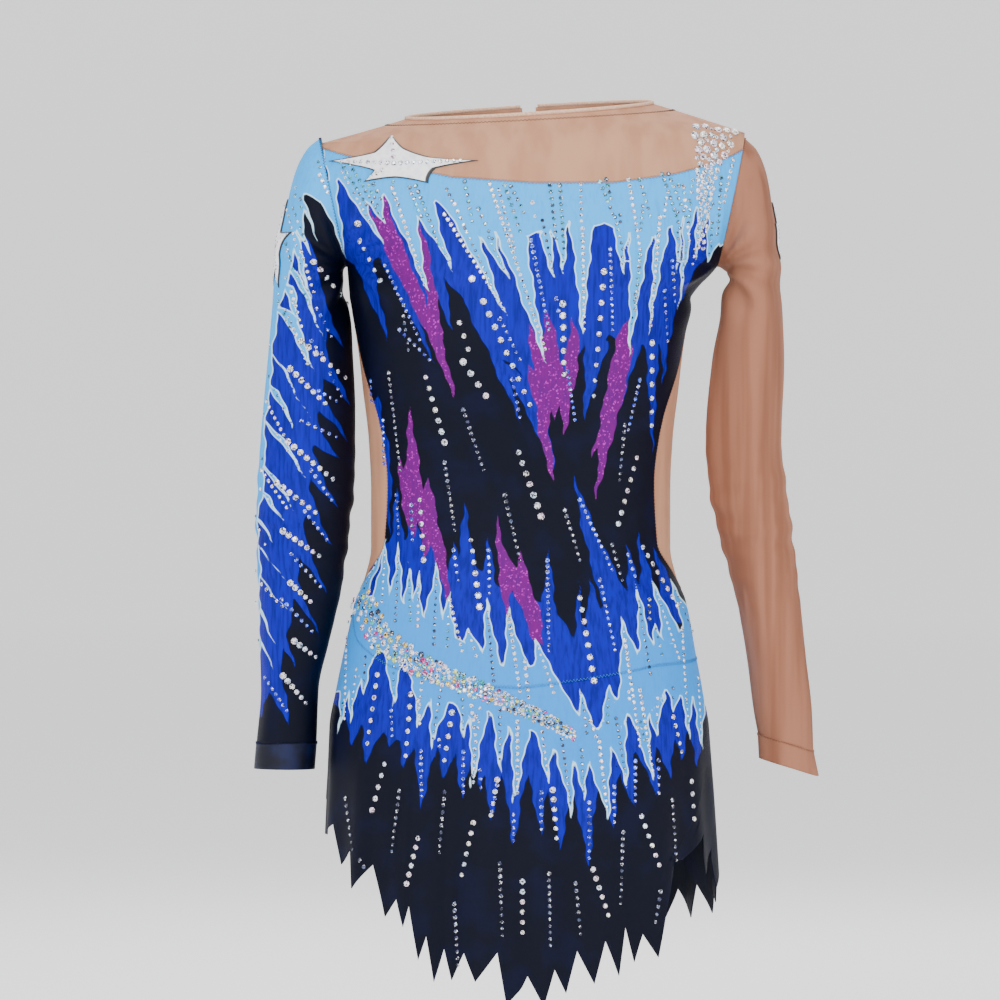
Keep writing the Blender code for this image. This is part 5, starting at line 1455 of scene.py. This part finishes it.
def make_edges(sizes):
    """Bindings and elastics of the legs and the neck, each a cord along its edge."""
    for side in SIDE_SIGN:
        line, outs = leg_line(side)
        line = np.concatenate([line[-3:], line, line[:3]])
        kernel = np.ones(7) / 7
        line = np.stack([np.convolve(line[:, k], kernel, "valid") for k in range(3)], -1)
        look = MATERIALS["navy_edging"]
        binding = tube(f"leg_binding_{side}_cord", line, outs, BINDING_RADIUS, look, True, 10, 0.8)
        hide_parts(f"leg_binding_{side}")
        along = unit(np.roll(line, -1, 0) - np.roll(line, 1, 0))
        square = np.cross(along, outs)
        square = square * np.sign(((line.mean(0) - line) * square).sum(1).mean())
        inner = line - square * ELASTIC_INSET - outs * ELASTIC_DEPTH
        elastic = tube(f"leg_elastic_{side}_cord", inner, outs, ELASTIC_RADIUS, MATERIALS["elastic"], True, 8)
        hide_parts(f"leg_elastic_{side}")
        for piece in (binding, elastic):
            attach(piece, ROOT)
    gap = 2 - math.asin((BACK_OPENING + BINDING_RADIUS) / BODY[0][1]) * 2 / math.pi
    turn = np.linspace(-gap, gap, 240)
    line = torso(0.0, turn)
    outs = unit(np.stack([line[:, 0] - NECK_SHIFT, line[:, 1], 0 * turn], -1))
    raised = line + [0, 0, BINDING_RADIUS / 2]
    fold = tube("neck_binding_cord", raised, outs, BINDING_RADIUS, MATERIALS["edging"], False, 12, 0.9)
    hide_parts("neck_binding")
    inner = line[4:-4] - [0, 0, ELASTIC_INSET] - outs[4:-4] * 0.004
    elastic = tube("neck_elastic_cord", inner, outs[4:-4], ELASTIC_RADIUS, MATERIALS["elastic"], False, 8)
    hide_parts("neck_elastic")
    for piece in (fold, elastic):
        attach(piece, ROOT)


def on_body(z, t):
    """A line on the body and its outward directions."""
    z, t = np.broadcast_arrays(np.asarray(z, float), np.asarray(t, float))
    small = 1e-4
    across = torso(z, t + small) - torso(z, t - small)
    up = torso(z + small, t) - torso(z - small, t)
    return torso(z, t), unit(np.cross(across, up))


def make_seams(sizes):
    """Zigzag stitches over every seam of the body, and those of the sleeves."""
    thread = sizes.thread
    turn = np.linspace(-0.998, 0.998, 300)
    dark = MATERIALS["dark_thread"]
    neck_turn = np.linspace(-1.93, 1.93, 400)
    line = on_body(np.full(400, NECK_STITCH_Z), neck_turn)
    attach(zigzag("neck_stitch", *line, NARROW_STITCH, NECK_PITCH_STITCH, thread, dark), ROOT)
    skin = MATERIALS["skin_thread"]
    navy = MATERIALS["navy_thread"]
    for name, line, look in (
        ("yoke_stitch", on_body(seam(YOKE_SEAM, turn), turn), skin),
        ("skirt_stitch", on_body(seam(SKIRT_SEAM, turn) + 0.001, turn), MATERIALS["sky_thread"]),
    ):
        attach(zigzag(name, *line, STITCH_WIDTH, STITCH_PITCH, thread, look), ROOT)
    for side, sign in SIDE_SIGN.items():
        heights = np.linspace(INSERT_EDGE[0][0], INSERT_EDGE[-1][0], 200)
        edge = stations(INSERT_EDGE, heights, 1)
        for place, at in (("front", edge), ("back", 2 - edge)):
            line = on_body(heights, sign * at)
            stitch = zigzag(f"insert_{side}_{place}_stitch", *line, NARROW_STITCH, STITCH_PITCH, thread, skin)
            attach(stitch, ROOT)
        across = np.linspace(0.01, 0.99, 160)
        inner = turn_at(side, np.full(160, BACK_YOKE_Z), NECK_SHIFT + sign * BACK_OPENING)
        back_turn = mix(sign * 1.0, inner, across)
        line = on_body(BACK_YOKE_Z, back_turn)
        stitch = zigzag(f"back_yoke_{side}_stitch", *line, STITCH_WIDTH, STITCH_PITCH, thread, skin)
        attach(stitch, ROOT)
        head = (SHOULDER_X[side], ARM_TOP_Z, ARMPIT_X[side], ARM_BOTTOM_Z, ARM_HALF_DEPTH)
        angle = np.linspace(0, 2 * math.pi, 260)
        line = ring_points(np.array(head), angle)
        middle, out = armhole_plane(side)
        outs = unit(line - middle - ((line - middle) @ out)[:, None] * out)
        look = navy if side == "right" else skin
        armhole = zigzag(f"armhole_{side}_stitch", line, outs, STITCH_WIDTH, STITCH_PITCH, thread, look)
        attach(armhole, ROOT)
        cuff = ring_points(np.array(CUFF_RINGS[side][0]), angle)
        cuff_outs = unit((cuff - cuff.mean(0)) * [1, 1, 0])
        stitch = zigzag(f"cuff_{side}_stitch", cuff, cuff_outs, STITCH_WIDTH, STITCH_PITCH, thread, look)
        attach(stitch, SLEEVE_BODY[side])
    heights = np.linspace(ZIP_TOP_Z - ZIP_LENGTH - 0.002, -0.42, 160)
    line = on_body(heights, turn_at("left", heights, NECK_SHIFT + 0 * heights))
    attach(zigzag("back_middle_stitch", *line, STITCH_WIDTH, STITCH_PITCH, thread, navy), ROOT)


# ---------------------------------------------------------------- starfish


def star_patch(name, outline, centre, surface, plane, facing):
    """A starfish: rings of its outline drawn in to its centre, laid on the cloth and puffed."""
    outline = np.array(outline)
    corners = len(outline)
    s = np.arange(corners * 8) / 8
    low = s.astype(int)
    bow = 0.5 - 0.5 * np.cos(math.pi * (s - low))
    soft = mix(s - low, bow, 0.25)[:, None]
    edge = mix(outline[low % corners], outline[(low + 1) % corners], soft)
    edge = mix(edge, np.array(centre), STAR_WAIST * (4 * (s - low) * (1 - s + low))[:, None])
    rings = np.linspace(0.02, 1, 26)
    flat = np.array(centre) + rings[:, None, None] * (edge[None] - np.array(centre))
    place, outs, _ = lay(surface, flat.reshape(-1, 2), plane, facing)
    lift = 0.0009 + STAR_PUFF * (1 - np.repeat(rings, len(edge)) ** 4)
    top = place + outs * lift[:, None]
    under = place.reshape(len(rings), -1, 3)[-1] - outs.reshape(len(rings), -1, 3)[-1] * 0.0002
    count = len(edge)
    index = np.arange(len(rings) * count).reshape(len(rings), count)
    ahead = np.roll(index, -1, 1)
    quads = np.stack([index[:-1], index[1:], ahead[1:], ahead[:-1]], -1).reshape(-1, 4)
    foot = len(rings) * count + np.arange(count)
    walls = np.stack([index[-1], foot, np.roll(foot, -1), np.roll(index[-1], -1)], -1)
    faces = quads.tolist() + walls.tolist() + [index[0].tolist(), foot[::-1].tolist()]
    mesh = bpy.data.meshes.new(name)
    mesh.from_pydata(np.concatenate([top, under]).tolist(), [], faces)
    rim = mesh.attributes.new("rim", "FLOAT", "POINT")
    rim.data.foreach_set("value", np.concatenate([np.repeat(rings, count), np.ones(count)]).astype(np.float32))
    obj = filed(name, mesh, MATERIALS["satin"])
    faces_out(obj, outs[0])
    return obj


def faces_out(obj, out):
    """Turns a mesh's faces over if its first face looks the wrong way."""
    normal = np.array(obj.data.polygons[0].normal)
    if normal @ out < 0:
        obj.data.flip_normals()


def star_stones(name, outline, centre, surface, plane, facing, radius):
    """Rows of clear stones along a starfish's arms."""
    outline = np.array(outline)
    centre = np.array(centre)
    reach = np.hypot(*(outline - centre).T)
    tips = outline[(reach > np.roll(reach, 1)) & (reach > np.roll(reach, -1))]
    stones = [np.append(centre, radius)]
    for tip in tips:
        pitch = 2.4 * radius / np.hypot(*(tip - centre))
        for s in np.arange(pitch, 0.86, pitch):
            stones.append(np.append(mix(centre, tip, s), radius * (1 - 0.35 * s)))
    stones = apart(stones, [])
    place, outs, _ = lay(surface, stones[:, :2], plane, facing)
    place = place + outs * (0.0006 + STAR_PUFF)
    return stone_mesh(name, place, outs, stones[:, 2], np.linspace(0, 0.99, len(stones)), MATERIALS["clear"])


def combined(*names):
    return tuple(np.concatenate([SURFACES[n][k] for n in names]) for k in range(2))


def make_starfish(sizes):
    """The chest starfish and one on the outside of each sleeve, with their stones."""
    chest = combined("yoke_front", "bodice_front")
    star = star_patch("starfish_chest_satin", CHEST_STAR, CHEST_STAR_CENTRE, chest, (0, 2), (1, -1.0))
    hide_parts("starfish_chest")
    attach(star, ROOT)
    radius = STAR_STONE["chest"]
    stones = star_stones("starfish_chest_stones", CHEST_STAR, CHEST_STAR_CENTRE, chest, (0, 2), (1, -1.0), radius)
    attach(stones, ROOT)
    for side, sign in SIDE_SIGN.items():
        reach = SLEEVE_STAR_REACH[side]
        height = SLEEVE_STAR_HEIGHT[side]
        angle = np.arange(2 * STAR_ARMS) * math.pi / STAR_ARMS + math.pi / 2
        length = np.where(np.arange(2 * STAR_ARMS) % 2 == 0, reach, reach * STAR_HOLLOW)
        forward = SLEEVE_STAR_FORWARD[side]
        across = forward + STAR_NARROWING * length * np.cos(angle)
        outline = np.stack([across, height + length * np.sin(angle)], -1)
        surface = SURFACES[f"sleeve_{side}"]
        name = f"starfish_sleeve_{side}"
        star = star_patch(name + "_satin", outline, (forward, height), surface, (1, 2), (0, sign))
        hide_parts(name)
        give(star, side)
        radius = STAR_STONE["sleeve"]
        stones = star_stones(name + "_stones", outline, (forward, height), surface, (1, 2), (0, sign), radius)
        give(stones, side)


# ---------------------------------------------------------------- set stones


def stone_groups(layout, strings, row_table, flames, taken):
    """Every stone of a surface by colour: strings, rows, then a row up each flame, none touching."""
    outlines = PRINTS[layout]["sky"]
    groups = {name: [] for name in ROW_COLOURS}
    held = list(taken)

    def place(stones, colour, wanted):
        if wanted is not None:
            inside = depth_inside(outlines, stones[:, :2])
            stones = stones[inside > 0.0012] if wanted else stones[inside < -0.0022]
        kept = apart(stones, held)
        groups[colour].extend(kept)
        held.extend(kept)

    for line in strings:
        stones = spread(line)
        stones[:, 2] *= MM / 10
        place(stones, "clear", None)
    for x0, z0, x1, z1, kind in row_table:
        wanted = (None, True, False, False)[kind]
        place(small_row(x0, z0, x1, z1, ROW_RADII, ROW_PITCH), ROW_COLOURS[kind], wanted)
    for k, tooth in enumerate(flames):
        colours = FLAME_ROW_COLOURS[layout]
        place(flame_row(tooth), colours[k % len(colours)], True)
    return {name: np.array(stones).reshape(-1, 3) for name, stones in groups.items()}


def set_stones(prefix, groups, surface, seed):
    random = np.random.default_rng(seed)
    for colour, stones in groups.items():
        if len(stones) == 0:
            continue
        place, outs, gap = lay(surface, stones[:, :2])
        stones = stones[gap < STONE_REACH]
        outs = outs[gap < STONE_REACH]
        place = place[gap < STONE_REACH]
        name = f"{prefix}_{colour}_stones"
        obj = stone_mesh(name, place, outs, stones[:, 2], random.uniform(0, 1, len(stones)), MATERIALS[colour])
        if prefix == "sleeve":
            give(obj, "right")
        else:
            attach(obj, ROOT)


def make_stones(sizes):
    """The belt and strap of packed stones, and the strings and rows of the body, skirt and sleeve."""
    random = np.random.default_rng(5)
    front = combined("yoke_front", "bodice_front", "skirt_front")
    taken = []
    for name, path, radii, look, throws in (
        ("crystal_strap", STRAP_PATH, STRAP_RADII, "clear", 9000),
        ("crystal_belt", BELT_PATH, BELT_RADII, "belt", 16000),
    ):
        stones = apart(packed(path, radii, 3, throws), [], 0.93)
        taken.extend(stones)
        place, outs, _ = lay(front, stones[:, :2])
        tints = random.uniform(0, 1, len(stones))
        obj = stone_mesh(name + "_stones", place, outs, stones[:, 2], tints, MATERIALS[look])
        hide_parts(name)
        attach(obj, ROOT)
    flames = [*SKY_CHEST_TEETH, *SKY_HIP_TEETH]
    set_stones("body", stone_groups("body", STRINGS_BODY, ROWS_BODY, flames, taken), front, 7)
    sleeve = SURFACES["sleeve_right"]
    middle, out = armhole_plane("right")
    groups = stone_groups("sleeve", STRINGS_SLEEVE, ROWS_SLEEVE, SKY_SLEEVE_TEETH, [])
    for colour, stones in groups.items():
        place = lay(sleeve, stones[:, :2])[0] if len(stones) else np.zeros((0, 3))
        groups[colour] = stones[((place - middle) @ out) > ROW_RADII[0]]
    set_stones("sleeve", groups, sleeve, 9)


# ---------------------------------------------------------------- zip


def make_zip(sizes):
    """Woven tapes and nylon coils; the slider, its tab and the stops keep their solids."""
    top = torso(ZIP_TOP_Z, 2.0)
    foot = torso(ZIP_TOP_Z - ZIP_LENGTH, 2.0)
    top[0] = foot[0] = NECK_SHIFT
    up = unit(top - foot)
    out = unit(np.array([0.0, up[2], -up[1]]))
    across = np.cross(out, up)
    origin = top - out * ZIP_SINK
    for side, sign in SIDE_SIGN.items():
        turn = np.arange(0, (ZIP_LENGTH - 0.0075) / COIL_PITCH, 0.125)
        angle = 2 * math.pi * turn
        line = origin + np.outer(sign * COIL_CENTRE + COIL_RADIUS * np.cos(angle), across)
        line = line + np.outer(COIL_LIFT + COIL_RADIUS * np.sin(angle), out)
        line = line - np.outer(COIL_START + turn * COIL_PITCH, up)
        centre = origin + sign * COIL_CENTRE * across + COIL_LIFT * out
        outs = line - centre
        outs = outs - np.outer(outs @ up, up)
        coil = tube(f"zip_coil_{side}_nylon", line, outs, COIL_WIRE, MATERIALS["nylon"])
        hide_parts(f"zip_coil_{side}")
        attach(coil, ROOT)
        aside, down = shares(16, 180)
        near = TAPE_INNER if sign > 0 else -TAPE_INNER - TAPE_WIDTH
        x = near + TAPE_WIDTH * (1 - aside)
        points = origin + x[..., None] * across - (down * ZIP_LENGTH)[..., None] * up
        tape = cloth_sheet(f"zip_tape_{side}_woven", points, MATERIALS["tape"], TAPE_THICKNESS)
        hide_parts(f"zip_tape_{side}")
        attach(tape, ROOT)
    for name in ("zip_slider", "zip_pull_tab", "zip_bottom_stop", "zip_top_stop_left", "zip_top_stop_right"):
        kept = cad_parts[name]
        kept.data.materials.clear()
        kept.data.materials.append(MATERIALS["metal"])
        rounding = kept.modifiers.new("rounding", "BEVEL")
        rounding.width = METAL_EDGE
        rounding.segments = 2


# ---------------------------------------------------------------- stage


def make_stage():
    """A pale round floor that curves up far away on every side, soft lights, and the camera."""
    bend = np.linspace(0, math.pi / 2, 16)
    radius = np.concatenate([[0.01, 3.0, 9.0], STAGE_RADIUS + STAGE_BEND * np.sin(bend)])
    height = np.concatenate([[0.0, 0.0, 0.0], STAGE_BEND * (1 - np.cos(bend))]) + FLOOR_Z
    around = np.arange(96) * 2 * math.pi / 96
    points = np.stack([
        np.outer(radius, np.cos(around)), np.outer(radius, np.sin(around)), np.outer(height, np.ones(96)),
    ], -1)
    index = np.arange(points.shape[0] * 96).reshape(-1, 96)
    ahead = np.roll(index, -1, 1)
    quads = np.stack([index[:-1], index[1:], ahead[1:], ahead[:-1]], -1).reshape(-1, 4).tolist()
    mesh = bpy.data.meshes.new("backdrop")
    mesh.from_pydata(points.reshape(-1, 3).tolist(), [], [*quads, index[0].tolist()])
    made, tree, shader = new_material("pale_paper")
    grain = noise(tree, object_place(tree), 30.0, 2.0)
    paper = blend_colour(tree, grain, srgb(244, 244, 246), srgb(250, 250, 251))
    wire(tree, shader, Base_Color=paper, Roughness=0.9)
    wire(tree, shader, Emission_Color=(1.0, 1.0, 1.0), Emission_Strength=0.45)
    backdrop = filed("backdrop", mesh, made)
    for name, place, size, power in (
        ("key_light", (-1.3, -2.6, 1.2), 1.6, 62.0),
        ("fill_light", (1.7, -2.3, 0.4), 1.8, 34.0),
        ("top_light", (0.0, -0.3, 2.2), 1.6, 30.0),
        ("back_light", (0.3, 1.6, 1.0), 1.5, 22.0),
    ):
        lamp = bpy.data.lights.new(name, "AREA")
        lamp.size = size
        lamp.energy = power
        light = bpy.data.objects.new(name, lamp)
        light.location = place
        aim = Vector((0.0, 0.0, -0.32)) - light.location
        light.rotation_euler = aim.to_track_quat("-Z", "Y").to_euler()
        bpy.context.scene.collection.objects.link(light)
    world = bpy.data.worlds.new("pale_room")
    world.use_nodes = True
    sky = world.node_tree.nodes["Background"]
    sky.inputs["Color"].default_value = (1.0, 1.0, 1.0, 1.0)
    sky.inputs["Strength"].default_value = 0.75
    bpy.context.scene.world = world
    lens = bpy.data.cameras.new("front_camera")
    lens.lens = 200.0
    lens.clip_end = 100.0
    camera = bpy.data.objects.new("front_camera", lens)
    camera.location = (-0.0168, -4.515, -0.316)
    camera.rotation_euler = (math.pi / 2, 0.0, 0.0)
    bpy.context.scene.collection.objects.link(camera)
    bpy.context.scene.camera = camera


# ---------------------------------------------------------------- add-on


class LEOTARD_OT_cloth(bpy.types.Operator):
    """Make the yokes, the bodice and the mesh inserts"""

    bl_idname = "leotard.cloth"
    bl_label = "Bodice and yokes"

    def execute(self, context):
        make_materials(context.scene.leotard_colours)
        make_body(context.scene.leotard_sizes)
        return {"FINISHED"}


class LEOTARD_OT_sleeves(bpy.types.Operator):
    """Make both sleeves and their cuffs"""

    bl_idname = "leotard.sleeves"
    bl_label = "Sleeves"

    def execute(self, context):
        make_sleeves(context.scene.leotard_sizes)
        return {"FINISHED"}


class LEOTARD_OT_skirt(bpy.types.Operator):
    """Make the front and the back of the skirt"""

    bl_idname = "leotard.skirt"
    bl_label = "Skirt"

    def execute(self, context):
        make_skirt(context.scene.leotard_sizes)
        return {"FINISHED"}


class LEOTARD_OT_brief(bpy.types.Operator):
    """Make the brief, the crotch and the chest lining"""

    bl_idname = "leotard.brief"
    bl_label = "Brief and linings"

    def execute(self, context):
        make_brief(context.scene.leotard_sizes)
        return {"FINISHED"}


class LEOTARD_OT_edges(bpy.types.Operator):
    """Make the bindings, the elastics and the stitches"""

    bl_idname = "leotard.edges"
    bl_label = "Edges and seams"

    def execute(self, context):
        make_edges(context.scene.leotard_sizes)
        make_seams(context.scene.leotard_sizes)
        return {"FINISHED"}


class LEOTARD_OT_starfish(bpy.types.Operator):
    """Make the three starfish"""

    bl_idname = "leotard.starfish"
    bl_label = "Starfish"

    def execute(self, context):
        make_starfish(context.scene.leotard_sizes)
        return {"FINISHED"}


class LEOTARD_OT_stones(bpy.types.Operator):
    """Set the stones of the belt, the strap, the strings and the rows"""

    bl_idname = "leotard.stones"
    bl_label = "Stones"

    def execute(self, context):
        make_stones(context.scene.leotard_sizes)
        return {"FINISHED"}


class LEOTARD_OT_zip(bpy.types.Operator):
    """Make the zip's tapes and coils"""

    bl_idname = "leotard.zip"
    bl_label = "Zip"

    def execute(self, context):
        make_zip(context.scene.leotard_sizes)
        return {"FINISHED"}


class LEOTARD_OT_stage(bpy.types.Operator):
    """Make the floor, the lights and the camera"""

    bl_idname = "leotard.stage"
    bl_label = "Stage"

    def execute(self, context):
        make_stage()
        return {"FINISHED"}


STEPS = (
    LEOTARD_OT_cloth, LEOTARD_OT_sleeves, LEOTARD_OT_skirt, LEOTARD_OT_brief, LEOTARD_OT_edges,
    LEOTARD_OT_starfish, LEOTARD_OT_stones, LEOTARD_OT_zip, LEOTARD_OT_stage,
)


class LEOTARD_PT_steps(bpy.types.Panel):
    """Lists the steps that build the leotard"""

    bl_label = "Leotard"
    bl_space_type = "VIEW_3D"
    bl_region_type = "UI"
    bl_category = "Leotard"

    def draw(self, context):
        for step in STEPS:
            self.layout.operator(step.bl_idname)
        for name in LeotardSizes.__annotations__:
            self.layout.prop(context.scene.leotard_sizes, name)
        for name in LeotardColours.__annotations__:
            self.layout.prop(context.scene.leotard_colours, name)


CLASSES = (LeotardSizes, LeotardColours, *STEPS, LEOTARD_PT_steps)


def register():
    for made in CLASSES:
        bpy.utils.register_class(made)
    bpy.types.Scene.leotard_sizes = bpy.props.PointerProperty(type=LeotardSizes)
    bpy.types.Scene.leotard_colours = bpy.props.PointerProperty(type=LeotardColours)


def unregister():
    del bpy.types.Scene.leotard_colours
    del bpy.types.Scene.leotard_sizes
    for made in reversed(CLASSES):
        bpy.utils.unregister_class(made)


def main():
    register()
    bpy.ops.leotard.cloth()
    bpy.ops.leotard.sleeves()
    bpy.ops.leotard.skirt()
    bpy.ops.leotard.brief()
    bpy.ops.leotard.edges()
    bpy.ops.leotard.starfish()
    bpy.ops.leotard.stones()
    bpy.ops.leotard.zip()
    bpy.ops.leotard.stage()


if __name__ == "__main__":
    main()
